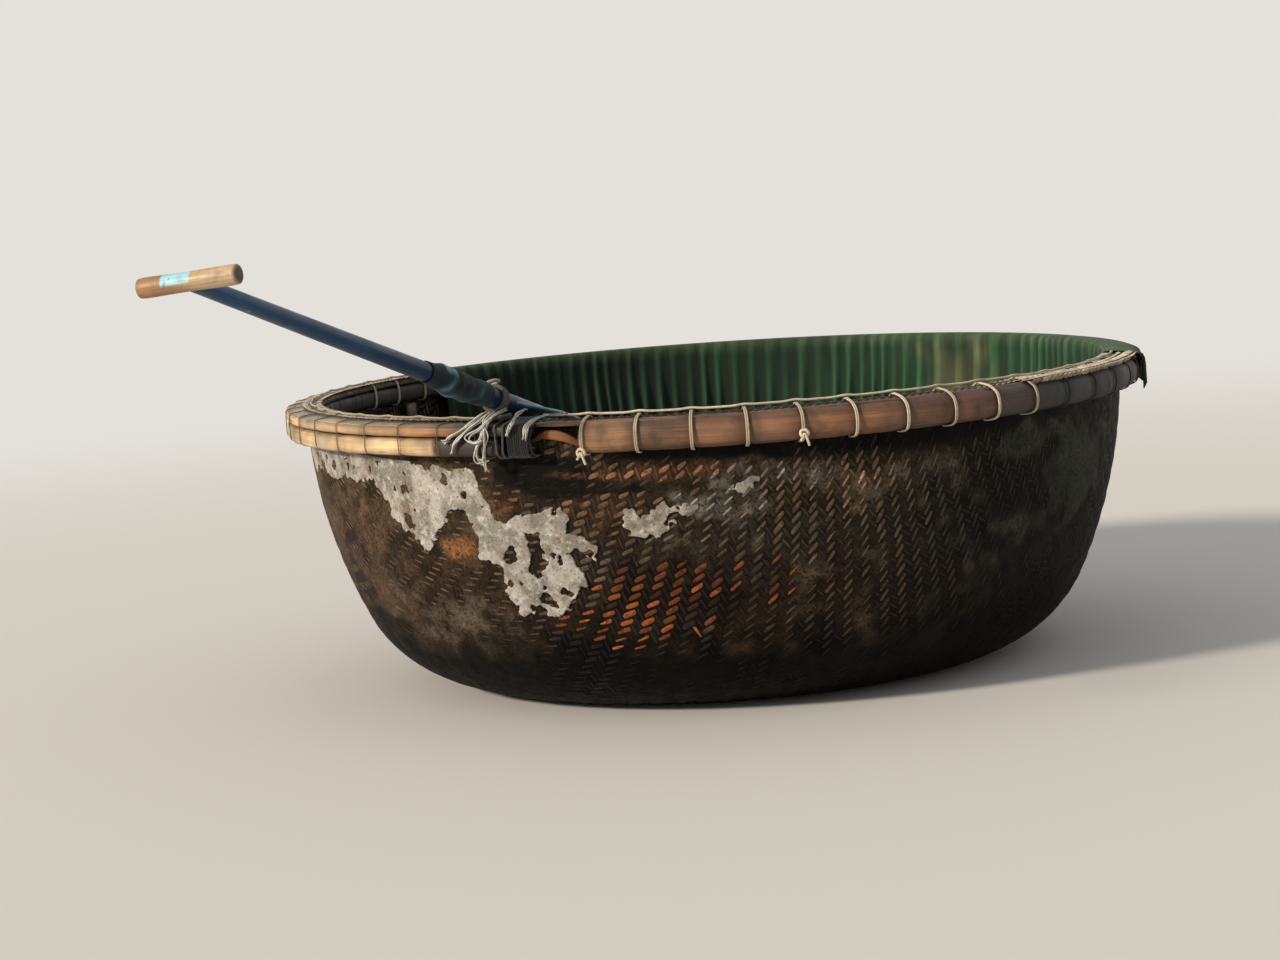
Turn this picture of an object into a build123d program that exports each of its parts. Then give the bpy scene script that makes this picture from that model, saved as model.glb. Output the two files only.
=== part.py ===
"""Round woven-bamboo basket boat with a bound rim, a cloth lining and an oar tied to the rim.

Millimetres. The origin is the centre of the flat bottom, on the ground. +Z is up, -Y is the side
that faces the viewer, and azimuths are degrees anticlockwise from +X, seen from above.
"""

from build123d import *
from math import asin, cos, degrees, radians, sin, sqrt, tan
import os

# Basket: a flat floor, a bilge arc and a side arc that ends upright at the edge
HULL_R = 1046.0
HULL_TOP = 722.0
FLOOR_R = 620.0
BILGE_TURN = 65.0
WALL = 10.0

# Outer hoop of split bamboo, in lengths that butt under the lashings
HOOP_DEPTH = 62.0
HOOP_BULGE = 52.0
HOOP_ROUND = 24.0
STRIP_ROUND = 13.0
BUTT_GAP = 0.5
STRIP_SPLIT = 1.0

# Other rim pieces
INNER_HOOP_DEPTH = 50.0
INNER_HOOP_T = 28.0
INNER_HOOP_ROUND = 10.0
LATH_T = 12.0
LATH_W = 40.0
LATH_INSET = 6.0
CAP_RISE = 18.0
CAP_EDGE = 6.0
SPLICE_W = 22.0
SPLICE_T = 14.0
SPLICE_DROP = 36.0
RUNNING_CORD_D = 6.0
RUNNING_CORD_INSET = 20.0
RUNNING_CORD_CLEAR = 0.5
ROPE_SIDES = 6

# Cord turns round the rim
SEAT = 0.3
LASHING_COUNT = 55
LASHING_START = 3.6
LASHING_CLEAR = 0.5
LASHING_W = 8.0
LASHING_T = 3.0
BINDING_W = 11.0
BINDING_T = 3.5
BINDING_AZIMUTHS = (249.9, 250.8, 251.7)
TIE_W = 9.0
TIE_T = 6.0
TIE_PITCH = 1.4
TIE_COUNT = 4

# Where things sit round the rim, in degrees
FULL_TURN = 360.0
TIE_AZIMUTH = 247.0
BREAK_START = 252.5
BREAK_END = 258.4
RIGHT_START = 350.0
BACK_START = 80.0
LEFT_START = 165.0
LINING_START = 352.0
LINING_SPAN = 151.0

# Ribs: flat split bamboo in two crossing layers
RIB_T = 13.0
RIB_W = 40.0
RIB_TOP = 664.0
RIB_PITCH = 250.0
RIB_COUNT = 5

# Cloth lining over the far rim
LINING_T = 4.0
LINING_DROP_IN = 400.0
LINING_DROP_OUT = 96.0
LINING_FOLD = 9.0

# Oar: stations are measured along the shaft from the tie, towards the blade
OAR_PLAN = 70.8
OAR_SLOPE = 16.6
OAR_ROLL = -5.0
PIVOT_INSET = 38.0
OUTBOARD = 1240.0
INBOARD = 950.0
SHAFT_GRIP_R = 17.5
SHAFT_TIE_R = 24.0
SPINE_END = 700.0
SPINE_END_R = 8.0
BLADE_START = 60.0
BLADE_SHOULDER = 230.0
BLADE_W = 136.0
BLADE_T = 15.0
BLADE_EDGE = 5.0
BLADE_TIP_ROUND = 40.0
GRIP_D = 40.0
GRIP_L = 225.0
GRIP_EDGE = 4.0
GRIP_SOCKET = 12.0
WRAP_START = -330.0
WRAP_END = -45.0
WRAP_T = 8.0
SEIZING_TURNS = 3
SEIZING_D = 9.0
PAD_ROPE_D = 9.0
PAD_R = 31.0

# Worked out from the sizes above
turn_s, turn_c = sin(radians(BILGE_TURN)), cos(radians(BILGE_TURN))
spread = turn_s * turn_c - (1 - turn_s) * (1 - turn_c)
BILGE_R = ((HULL_R - FLOOR_R) * turn_c - HULL_TOP * (1 - turn_s)) / spread
SIDE_R = (HULL_TOP * turn_s - (HULL_R - FLOOR_R) * (1 - turn_c)) / spread
SIDE_CENTRE = (HULL_R - SIDE_R, HULL_TOP)
HOOP_LOW = HULL_TOP - HOOP_DEPTH
RIM_R = HULL_R + HOOP_BULGE
INNER_R = HULL_R - WALL - INNER_HOOP_T
INNER_LOW = HULL_TOP - INNER_HOOP_DEPTH
LATH_R = RIM_R - LATH_INSET
CAP_OUT = LATH_R - LATH_W
BUTT_ANGLE = degrees(BUTT_GAP / RIM_R)
PAD_TOP = HULL_TOP + CAP_RISE + TIE_T + 2 * SEAT + PAD_ROPE_D
PIVOT_Z = PAD_TOP + PAD_R * tan(radians(OAR_SLOPE)) + (SHAFT_TIE_R + SEAT) / cos(radians(OAR_SLOPE))
PIVOT = Vector(RIM_R - PIVOT_INSET, 0, PIVOT_Z).rotate(Axis.Z, TIE_AZIMUTH)


def radial_plane(azimuth):
    """The upright plane through the middle of the boat at an azimuth: x is outwards, y is up."""
    c, s = cos(radians(azimuth)), sin(radians(azimuth))
    return Plane(origin=(0, 0, 0), x_dir=(c, s, 0), z_dir=(s, -c, 0))


def shell_face(outer_inset, inner_inset):
    """Half section of a layer of the bowl between two insets from the basket's outside."""
    with BuildSketch(mode=Mode.PRIVATE) as section:
        with BuildLine():
            for inset in (outer_inset, inner_inset):
                Line((0, inset), (FLOOR_R, inset))
                CenterArc((FLOOR_R, BILGE_R), BILGE_R - inset, -90, BILGE_TURN)
                CenterArc(SIDE_CENTRE, SIDE_R - inset, BILGE_TURN - 90, 90 - BILGE_TURN)
            Line((0, outer_inset), (0, inner_inset))
            Line((HULL_R - outer_inset, HULL_TOP), (HULL_R - inner_inset, HULL_TOP))
        make_face()
    return section.sketch_local


def rim_envelope(growth, hoop_round):
    """Outline of the whole bound rim, grown by an amount, over a hoop with rounded edges."""
    bevel = (2 - sqrt(2)) * hoop_round - SEAT
    with BuildSketch(mode=Mode.PRIVATE) as outline:
        with BuildLine():
            Polyline(
                (HULL_R - WALL / 2, HOOP_LOW),
                (RIM_R - bevel, HOOP_LOW),
                (RIM_R, HOOP_LOW + bevel),
                (RIM_R, HULL_TOP - bevel),
                (LATH_R, HULL_TOP + LATH_T),
                (CAP_OUT - CAP_EDGE, HULL_TOP + CAP_RISE),
                (INNER_R + CAP_EDGE, HULL_TOP + CAP_RISE),
                (INNER_R, HULL_TOP + CAP_EDGE),
                (INNER_R, INNER_LOW),
                (HULL_R - WALL, INNER_LOW),
                close=True,
            )
        make_face()
        offset(amount=growth, kind=Kind.INTERSECTION, mode=Mode.REPLACE)
    return outline.sketch_local


def rim_turn(width, thickness, hoop_round):
    """One flat turn of cord round the rim at azimuth 0, with its two ends at the basket's wall."""
    with BuildPart(mode=Mode.PRIVATE) as turn:
        with BuildSketch(Plane.XZ):
            add(rim_envelope(SEAT + thickness, hoop_round))
            add(rim_envelope(SEAT, hoop_round), mode=Mode.SUBTRACT)
            add(shell_face(-SEAT, WALL + SEAT), mode=Mode.SUBTRACT)
        extrude(amount=width / 2, both=True)
    return turn.part


def finish(piece, name):
    """Label a finished piece and write it."""
    piece.part.label = name
    export_step(piece.part, f"parts/{name}.step")


os.makedirs("parts", exist_ok=True)

# Basket: floor, bilge and side in one woven shell
with BuildPart() as hull_basket:
    with BuildSketch(Plane.XZ):
        add(shell_face(0, WALL))
    revolve(axis=Axis.Z)
finish(hull_basket, "hull_basket")

# Ribs: each is a slab through a layer of the bowl, the second layer crossing on the first
rib_layers = (
    # name, inset of the layer, turn of the set
    ("rib_along", WALL + SEAT, 0),
    ("rib_across", WALL + RIB_T + 2 * SEAT, 90),
)
for rib_name, rib_inset, rib_turn in rib_layers:
    for number in range(RIB_COUNT):
        across = (number - (RIB_COUNT - 1) / 2) * RIB_PITCH
        with BuildPart() as rib:
            with BuildSketch(Plane.XZ):
                add(shell_face(rib_inset, rib_inset + RIB_T))
            revolve(axis=Axis.Z)
            with Locations(Plane.XY.rotated((0, 0, rib_turn)) * Location((across, 0, 0))):
                Box(
                    RIB_W,
                    2 * HULL_R,
                    RIB_TOP,
                    align=(Align.CENTER, Align.CENTER, Align.MIN),
                    mode=Mode.INTERSECT,
                )
        finish(rib, f"{rib_name}_{number + 1}")

# Outer hoop: lengths of split bamboo that butt under the cord turns
middle = (HOOP_LOW + HULL_TOP) / 2
outer_lengths = (
    # name, start azimuth, end azimuth, low edge, high edge, rounding
    ("rim_outer_front", BREAK_END, RIGHT_START, HOOP_LOW, HULL_TOP, HOOP_ROUND),
    ("rim_outer_right", RIGHT_START, BACK_START + FULL_TURN, HOOP_LOW, HULL_TOP, HOOP_ROUND),
    ("rim_outer_back", BACK_START, LEFT_START, HOOP_LOW, HULL_TOP, HOOP_ROUND),
    ("rim_outer_left_upper", LEFT_START, BREAK_START, middle + STRIP_SPLIT / 2, HULL_TOP, STRIP_ROUND),
    ("rim_outer_left_lower", LEFT_START, BREAK_START, HOOP_LOW, middle - STRIP_SPLIT / 2, STRIP_ROUND),
)
for length_name, start, end, low, high, hoop_round in outer_lengths:
    with BuildPart() as outer_length:
        with BuildSketch(radial_plane(start)) as hoop_section:
            with Locations((RIM_R, low)):
                Rectangle(WALL + HOOP_BULGE, high - low, align=(Align.MAX, Align.MIN))
            fillet(hoop_section.vertices().sort_by(Axis.X)[-2:], hoop_round)
            with Locations(SIDE_CENTRE):
                Circle(SIDE_R + SEAT, mode=Mode.SUBTRACT)
        revolve(axis=Axis.Z, revolution_arc=end - start - BUTT_ANGLE)
    finish(outer_length, length_name)

# Thin lath on the hoop's shoulder and the inner hoop, each in a near and a far length
near_span = RIGHT_START - LEFT_START
two_lengths = (
    # name, start azimuth, span
    ("near", LEFT_START, near_span),
    ("far", RIGHT_START, FULL_TURN - near_span),
)
for side, start, span in two_lengths:
    with BuildPart() as lath:
        with BuildSketch(radial_plane(start)) as lath_section:
            with Locations((LATH_R - LATH_W / 2, HULL_TOP + LATH_T / 2)):
                Rectangle(LATH_W, LATH_T)
        revolve(axis=Axis.Z, revolution_arc=span - BUTT_ANGLE)
    finish(lath, f"rim_lath_{side}")
    with BuildPart() as inner_hoop:
        with BuildSketch(radial_plane(start)) as inner_section:
            with Locations((INNER_R, INNER_LOW)):
                Rectangle(HULL_R - INNER_R, INNER_HOOP_DEPTH, align=(Align.MIN, Align.MIN))
            fillet(inner_section.vertices().sort_by(Axis.X)[:2], INNER_HOOP_ROUND)
            with Locations(SIDE_CENTRE):
                Circle(SIDE_R - WALL - SEAT, mode=Mode.INTERSECT)
        revolve(axis=Axis.Z, revolution_arc=span - BUTT_ANGLE)
    finish(inner_hoop, f"rim_inner_{side}")

# Plaited cap that covers the basket's cut edge
with BuildPart() as rim_cap:
    with BuildSketch(Plane.XZ) as cap_section:
        with BuildLine():
            Polyline((INNER_R, HULL_TOP), (CAP_OUT, HULL_TOP), (CAP_OUT, HULL_TOP + CAP_EDGE))
            ThreePointArc(
                (CAP_OUT, HULL_TOP + CAP_EDGE),
                ((INNER_R + CAP_OUT) / 2, HULL_TOP + CAP_RISE),
                (INNER_R, HULL_TOP + CAP_EDGE),
            )
            Line((INNER_R, HULL_TOP + CAP_EDGE), (INNER_R, HULL_TOP))
        make_face()
    revolve(axis=Axis.Z)
finish(rim_cap, "rim_cap")

# Bent strip left where the outer hoop has broken away
with BuildPart() as rim_broken_strip:
    with BuildSketch(radial_plane(BREAK_START)):
        with Locations((HULL_R + SPLICE_T, HULL_TOP - SPLICE_DROP)):
            Rectangle(WALL + SPLICE_T, SPLICE_W, align=(Align.MAX, Align.MAX))
        with Locations(SIDE_CENTRE):
            Circle(SIDE_R + SEAT, mode=Mode.SUBTRACT)
    revolve(axis=Axis.Z, revolution_arc=BREAK_END - BREAK_START - BUTT_ANGLE)
finish(rim_broken_strip, "rim_broken_strip")

# Cord turns round the rim: one turn, repeated round the boat, left out where the oar is tied
lashing_pitch = FULL_TURN / LASHING_COUNT
lashing_azimuths = [LASHING_START + number * lashing_pitch for number in range(LASHING_COUNT)]
tie_azimuths = [TIE_AZIMUTH + (number - (TIE_COUNT - 1) / 2) * TIE_PITCH for number in range(TIE_COUNT)]
clear_low = min(tie_azimuths) - LASHING_CLEAR
clear_high = max(BINDING_AZIMUTHS) + LASHING_CLEAR
turn_sets = (
    # name, azimuths, width and thickness of the cord
    ("rim_lashings", [a for a in lashing_azimuths if not clear_low < a < clear_high], LASHING_W, LASHING_T),
    ("rim_joint_binding", BINDING_AZIMUTHS, BINDING_W, BINDING_T),
    ("oar_tie_rope", tie_azimuths, TIE_W, TIE_T),
)
for set_name, azimuths, width, thickness in turn_sets:
    on_strips = [a for a in azimuths if LEFT_START - LASHING_CLEAR < a < BREAK_START]
    on_hoop = [a for a in azimuths if a not in on_strips]
    with BuildPart() as turns:
        for group, hoop_round in ((on_strips, STRIP_ROUND), (on_hoop, HOOP_ROUND)):
            if group:
                with Locations(*[Location((0, 0, 0), (0, 0, azimuth)) for azimuth in group]):
                    add(rim_turn(width, thickness, hoop_round))
    finish(turns, set_name)

# Cord that runs along the rim from turn to turn, over the uncovered stretch
running_start = LINING_START + LINING_SPAN - FULL_TURN + RUNNING_CORD_CLEAR
running_spans = (
    (running_start, clear_low - RUNNING_CORD_CLEAR),
    (clear_high + RUNNING_CORD_CLEAR, LINING_START - RUNNING_CORD_CLEAR),
)
running_z = HULL_TOP + CAP_RISE + LASHING_T + 2 * SEAT + RUNNING_CORD_D / 2
with BuildPart() as rim_running_cord:
    for start, end in running_spans:
        with BuildSketch(radial_plane(start)):
            with Locations((INNER_R + RUNNING_CORD_INSET, running_z)):
                RegularPolygon(RUNNING_CORD_D / 2, ROPE_SIDES)
        revolve(axis=Axis.Z, revolution_arc=end - start)
finish(rim_running_cord, "rim_running_cord")

# Lining: hangs outside the rim, lies over it and hangs inside along the ribs
lining_seat = LASHING_T + 2 * SEAT + LINING_T / 2
lining_in_r = INNER_R - lining_seat
lining_out_r = RIM_R + lining_seat
lining_arc_r = lining_in_r - SIDE_CENTRE[0]
lining_turn = degrees(asin((LINING_DROP_IN - CAP_RISE) / lining_arc_r))
with BuildPart() as lining:
    with BuildSketch(radial_plane(LINING_START)):
        with BuildLine(mode=Mode.PRIVATE) as fall:
            over = FilletPolyline(
                (lining_out_r, HULL_TOP + CAP_RISE - LINING_DROP_OUT),
                (lining_out_r, HULL_TOP),
                (LATH_R + lining_seat, HULL_TOP + LATH_T + lining_seat),
                (CAP_OUT - CAP_EDGE, HULL_TOP + CAP_RISE + lining_seat),
                (lining_in_r, HULL_TOP + CAP_RISE + lining_seat),
                (lining_in_r, HULL_TOP),
                radius=LINING_FOLD,
            )
            CenterArc(SIDE_CENTRE, lining_arc_r, -lining_turn, lining_turn)
        trace(fall.edges(), LINING_T)
    revolve(axis=Axis.Z, revolution_arc=LINING_SPAN)
finish(lining, "lining")

# Oar: local x runs along the shaft to the blade, local z is the blade's face
level_dir = Vector(cos(radians(OAR_PLAN)), sin(radians(OAR_PLAN)), 0)
shaft_dir = level_dir * cos(radians(OAR_SLOPE)) - Vector(0, 0, sin(radians(OAR_SLOPE)))
shaft_axis = Axis(PIVOT, shaft_dir)
dip_dir = level_dir.cross(Vector(0, 0, 1))
face_dir = dip_dir.cross(shaft_dir).rotate(Axis((0, 0, 0), shaft_dir), OAR_ROLL)
oar_plane = Plane(origin=PIVOT, x_dir=shaft_dir, z_dir=face_dir)
side_plane = Plane(origin=PIVOT, x_dir=shaft_dir, z_dir=oar_plane.y_dir)

with BuildPart() as oar_shaft:
    with BuildSketch(side_plane):
        with BuildLine():
            Polyline(
                (-OUTBOARD - GRIP_D / 2 + GRIP_SOCKET, 0),
                (-OUTBOARD - GRIP_D / 2 + GRIP_SOCKET, SHAFT_GRIP_R),
                (0, SHAFT_TIE_R),
                (BLADE_SHOULDER, SHAFT_TIE_R),
                (SPINE_END, SPINE_END_R),
                (SPINE_END, 0),
                close=True,
            )
        make_face()
    revolve(axis=shaft_axis)
finish(oar_shaft, "oar_shaft")

with BuildPart() as oar_blade:
    with BuildSketch(oar_plane):
        with BuildLine():
            Polyline(
                (BLADE_START, 0),
                (BLADE_START, SHAFT_TIE_R + BLADE_EDGE),
                (BLADE_SHOULDER, BLADE_W / 2),
                (INBOARD, BLADE_W / 2),
                (INBOARD, 0),
                close=True,
            )
        make_face()
        mirror(about=Plane.XZ)
    extrude(amount=BLADE_T / 2, both=True)
    tip = oar_blade.edges().filter_by(Axis(PIVOT, face_dir)).sort_by(shaft_axis)[-2:]
    fillet(tip, BLADE_TIP_ROUND)
    add(oar_shaft.part, mode=Mode.SUBTRACT)
finish(oar_blade, "oar_blade")

grip_centre = PIVOT - shaft_dir * OUTBOARD
with BuildPart() as oar_grip:
    with BuildSketch(Plane(origin=grip_centre, x_dir=shaft_dir, z_dir=oar_plane.y_dir)):
        Circle(GRIP_D / 2)
    extrude(amount=GRIP_L / 2, both=True)
    chamfer(oar_grip.edges().filter_by(GeomType.CIRCLE), GRIP_EDGE)
    add(oar_shaft.part, mode=Mode.SUBTRACT)
finish(oar_grip, "oar_grip")

# Cloth wound round the shaft beside the tie
taper = (SHAFT_TIE_R - SHAFT_GRIP_R) / (OUTBOARD + GRIP_D / 2 - GRIP_SOCKET)
with BuildPart() as oar_wrap:
    with BuildSketch(side_plane):
        with BuildLine():
            start_r = SHAFT_TIE_R + taper * WRAP_START + SEAT
            end_r = SHAFT_TIE_R + taper * WRAP_END + SEAT
            Polyline(
                (WRAP_START, start_r),
                (WRAP_START + WRAP_T, start_r + WRAP_T),
                (WRAP_END - WRAP_T, end_r + WRAP_T),
                (WRAP_END, end_r),
                close=True,
            )
        make_face()
    revolve(axis=shaft_axis)
finish(oar_wrap, "oar_wrap")

# Rope turns seized round the shaft over the rim
with BuildPart() as oar_seizing:
    for number in range(SEIZING_TURNS):
        station = (number - (SEIZING_TURNS - 1) / 2) * (SEIZING_D + SEAT)
        with BuildSketch(side_plane):
            with Locations((station, SHAFT_TIE_R + SEAT + SEIZING_D / 2)):
                RegularPolygon(SEIZING_D / 2, ROPE_SIDES)
        revolve(axis=shaft_axis)
finish(oar_seizing, "oar_seizing")

# Rope ring that the shaft rests on, lying on the tie rope
with BuildPart() as oar_pad:
    pad_z = PAD_TOP - PAD_ROPE_D / 2
    with BuildSketch(Plane(origin=(PIVOT.X, PIVOT.Y, pad_z), x_dir=(1, 0, 0), z_dir=(0, -1, 0))):
        with Locations((PAD_R, 0)):
            RegularPolygon(PAD_ROPE_D / 2, ROPE_SIDES)
    revolve(axis=Axis((PIVOT.X, PIVOT.Y, pad_z), (0, 0, 1)))
finish(oar_pad, "oar_pad")

print("pivot", [round(v / 1000, 5) for v in PIVOT], "dip axis", [round(v, 5) for v in dip_dir])
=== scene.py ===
"""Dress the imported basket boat: woven bowl, flaking coat, bound rim, cloth lining and tied oar.

Metres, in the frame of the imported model: the origin is the centre of the flat bottom on the ground,
+Z is up and -Y is the side that faces the viewer. Azimuths are degrees anticlockwise from +X.
"""

from __future__ import annotations

import logging
import math
from dataclasses import dataclass, replace
from enum import Enum
from typing import Any, Callable, Sequence

import bmesh
import bpy
import numpy as np
from mathutils import Matrix, Vector

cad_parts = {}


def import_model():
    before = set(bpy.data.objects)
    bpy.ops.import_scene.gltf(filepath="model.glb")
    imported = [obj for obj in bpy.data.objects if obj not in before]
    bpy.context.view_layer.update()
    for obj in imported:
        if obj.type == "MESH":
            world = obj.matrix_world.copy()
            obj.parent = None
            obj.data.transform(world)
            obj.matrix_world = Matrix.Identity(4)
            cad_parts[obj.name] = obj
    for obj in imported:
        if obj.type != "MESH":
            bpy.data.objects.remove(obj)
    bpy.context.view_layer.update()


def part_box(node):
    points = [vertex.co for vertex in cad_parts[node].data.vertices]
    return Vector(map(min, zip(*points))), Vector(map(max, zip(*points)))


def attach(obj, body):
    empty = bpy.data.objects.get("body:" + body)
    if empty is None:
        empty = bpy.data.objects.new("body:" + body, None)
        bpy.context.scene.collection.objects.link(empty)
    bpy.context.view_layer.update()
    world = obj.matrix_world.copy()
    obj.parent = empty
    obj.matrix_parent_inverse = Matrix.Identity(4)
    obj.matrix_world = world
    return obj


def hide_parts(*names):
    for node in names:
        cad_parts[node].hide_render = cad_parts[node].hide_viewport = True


LOG = logging.getLogger("basket_boat")
TAU = 2 * math.pi
HULL_BODY = "hull"
TIE_BODY = "oar_tie"
OAR_BODY = "oar"
Array = np.ndarray
Piece = bpy.types.Object
Mesh = bpy.types.Mesh
Node = bpy.types.Node
Tree = bpy.types.NodeTree
Material = bpy.types.Material
Socket = bpy.types.NodeSocket
Inputs = dict[str | int, Any]
Stops = tuple[tuple[float, str], ...]
Outline = tuple[tuple[float, float], ...]

# The vertex colours and the surface map that the finishes read
TINT = "tint"
GRAIN = "grain"
# Most of a noise pattern's values lie between these two
NOISE_SPAN = (0.3, 0.7)
# How finely a rope's spline is read between two of its control points
SPLINE_STEPS = 8
# A rope's strands, and how deep the grooves between them are as a share of its radius
STRANDS = 3
STRAND_GROOVE = 0.16


# Colours and small numeric helpers


def linear(code: str) -> Array:
    """Turn an sRGB hex value into linear red, green and blue."""
    parts = np.array([int(code[at : at + 2], 16) for at in (1, 3, 5)]) / 255
    return np.where(parts <= 0.04045, parts / 12.92, ((parts + 0.055) / 1.055) ** 2.4)


def rgba(code: str) -> tuple[float, float, float, float]:
    """Turn an sRGB hex value into a linear colour with full cover."""
    red, green, blue = linear(code)
    return float(red), float(green), float(blue), 1.0


def mixed(first: Array | str, second: Array | str, share: Array | float) -> Array:
    """Blend two colours, each a hex value or linear rows, by a share for each point."""
    first, second = (linear(colour) if isinstance(colour, str) else colour for colour in (first, second))
    share = np.asarray(share, float).reshape(-1, 1)
    return first * (1 - share) + second * share


def by_azimuth(azimuths: Array, stops: Stops) -> Array:
    """Linear colours that change with the azimuth from stop to stop."""
    places = [place for place, _ in stops]
    colours = np.array([linear(code) for _, code in stops])
    return np.stack([np.interp(azimuths, places, colours[:, band]) for band in range(3)], axis=-1)


def smooth(low: float, high: float, values: Array) -> Array:
    """Rise smoothly from 0 at low to 1 at high."""
    t = np.clip((values - low) / (high - low), 0, 1)
    return t * t * (3 - 2 * t)


def cloud(points: Array, size: float, seed: int, octaves: int = 3) -> Array:
    """Seeded noise in space.

    Args:
        points: Places, one row each, in metres.
        size: The size of the largest blobs, in metres.
        seed: Which pattern to give.
        octaves: How many finer layers to add, each half the size and weight.

    Returns:
        One value from about -1 to 1 for each point.
    """
    total = np.zeros(len(points))
    weight, norm = 1.0, 0.0
    for octave in range(octaves):
        rng = np.random.default_rng(seed + 101 * octave)
        table = rng.uniform(-1, 1, 4096)
        scaled = np.asarray(points, float) / (size / 2**octave) + 57.3
        cell = np.floor(scaled).astype(np.int64)
        part = scaled - cell
        part = part * part * (3 - 2 * part)
        value = np.zeros(len(points))
        for corner in range(8):
            step = np.array([corner & 1, corner >> 1 & 1, corner >> 2 & 1])
            share = np.prod(np.where(step == 1, part, 1 - part), axis=1)
            at = cell + step
            spot = (at[:, 0] * 73856093) ^ (at[:, 1] * 19349663) ^ (at[:, 2] * 83492791)
            value += share * table[spot & 4095]
        total += weight * value
        norm += weight
        weight /= 2
    return 1.6 * total / norm


def stacked(*parts: Array | float) -> Array:
    """Join coordinates, each given for every point or as one number for all."""
    return np.stack(np.broadcast_arrays(*parts), axis=-1)


def on_circle(azimuths: Array | float, radii: Array | float, heights: Array | float) -> Array:
    """Points from azimuths in degrees, radii and heights, any of which may be one number for all."""
    turn = np.radians(azimuths)
    return stacked(radii * np.cos(turn), radii * np.sin(turn), heights)


def azimuth_of(points: Array) -> Array:
    """The azimuth of each point in degrees, from 0 to 360."""
    return np.degrees(np.arctan2(points[:, 1], points[:, 0])) % 360


def apart(first: Array | float, second: float) -> Array:
    """The signed turn in degrees from one azimuth to others, from -180 to 180."""
    return (first - second + 180) % 360 - 180


def travelled(line: Array) -> Array:
    """How far along a line each of its points lies."""
    return np.concatenate([[0], np.cumsum(np.linalg.norm(np.diff(line, axis=0), axis=1))])


# Meshes


def grid_faces(rows: int, columns: int, wrap_rows: bool = False, wrap_columns: bool = False) -> Array:
    """Quads over a grid of points that are numbered row by row.

    Args:
        rows: How many rows of points there are.
        columns: How many points are in a row.
        wrap_rows: Whether the last row joins the first.
        wrap_columns: Whether the last point of a row joins the first.

    Returns:
        One row of four point numbers for each face.
    """
    row = np.arange(rows if wrap_rows else rows - 1)[:, None]
    column = np.arange(columns if wrap_columns else columns - 1)
    next_row, next_column = (row + 1) % rows, (column + 1) % columns
    corners = [
        row * columns + column,
        next_row * columns + column,
        next_row * columns + next_column,
        row * columns + next_column,
    ]
    return np.stack([corner.ravel() for corner in np.broadcast_arrays(*corners)], axis=1)


def ring_faces(rows: int, sides: int) -> list[list[int]]:
    """Quads over a run of rings of points, with both ends closed."""
    faces = grid_faces(rows, sides, False, True).tolist()
    return faces + [list(range(sides))[::-1], list(range((rows - 1) * sides, rows * sides))]


def coordinates(mesh: Mesh) -> Array:
    """A mesh's vertices, one row each."""
    flat = np.zeros(len(mesh.vertices) * 3, np.float32)
    mesh.vertices.foreach_get("co", flat)
    return flat.reshape(-1, 3).astype(float)


def put(mesh: Mesh, points: Array) -> None:
    """Move a mesh's vertices to new places."""
    mesh.vertices.foreach_set("co", points.astype(np.float32).ravel())
    mesh.update()


def paint(mesh: Mesh, tint: Array) -> None:
    """Give a mesh one linear colour for each vertex, in the attribute that the finishes read."""
    layer = mesh.attributes.new(TINT, "FLOAT_COLOR", "POINT")
    full = np.concatenate([tint, np.ones((len(tint), 1))], axis=1)
    layer.data.foreach_set("color", full.astype(np.float32).ravel())


def map_grain(mesh: Mesh, along: Array) -> None:
    """Give a mesh its surface map, in metres along and across its grain, from one row for each vertex."""
    layer = mesh.uv_layers.new(name=GRAIN)
    corner_vertex = np.zeros(len(mesh.loops), np.int32)
    mesh.loops.foreach_get("vertex_index", corner_vertex)
    layer.uv.foreach_set("vector", along[corner_vertex].astype(np.float32).ravel())


def linked(name: str, mesh: bpy.types.ID) -> Piece:
    """Put a mesh or curve in the scene as an object at the origin."""
    made = bpy.data.objects.new(name, mesh)
    bpy.context.scene.collection.objects.link(made)
    return made


def make_outward(piece: Piece) -> None:
    """Merge a closed shell's doubles and turn its faces outwards."""
    draft = bmesh.new()
    draft.from_mesh(piece.data)
    bmesh.ops.remove_doubles(draft, verts=draft.verts, dist=1e-6)
    bmesh.ops.recalc_face_normals(draft, faces=draft.faces)
    draft.to_mesh(piece.data)
    draft.free()


@dataclass
class Draft:
    """A mesh in the making: faces of point numbers, places along and across its grain, and linear colours."""

    points: Array
    faces: Sequence[Sequence[int]]
    along: Array | None = None
    tint: Array | None = None

    def build(self, name: str, material: Material | None = None, closed: bool = True) -> Piece:
        """Make the object.

        Args:
            name: The piece's name.
            material: Its finish.
            closed: Whether to merge its doubles and turn its faces outwards.

        Returns:
            The object, at the origin and linked to the scene.
        """
        mesh = bpy.data.meshes.new(name)
        mesh.from_pydata(self.points.tolist(), [], [list(map(int, face)) for face in self.faces])
        mesh.validate()
        mesh.update()
        mesh.shade_smooth()
        if self.along is not None:
            map_grain(mesh, self.along)
        if self.tint is not None:
            paint(mesh, self.tint)
        if material is not None:
            mesh.materials.append(material)
        made = linked(name, mesh)
        if closed:
            make_outward(made)
        return made


def joined(drafts: Sequence[Draft]) -> Draft:
    """Put several drafts into one."""
    faces: list[list[int]] = []
    start = 0
    for draft in drafts:
        faces += [[int(v) + start for v in face] for face in draft.faces]
        start += len(draft.points)
    first = drafts[0]
    along = None if first.along is None else np.concatenate([d.along for d in drafts])
    tint = None if first.tint is None else np.concatenate([d.tint for d in drafts])
    return Draft(np.concatenate([d.points for d in drafts]), faces, along, tint)


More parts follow.
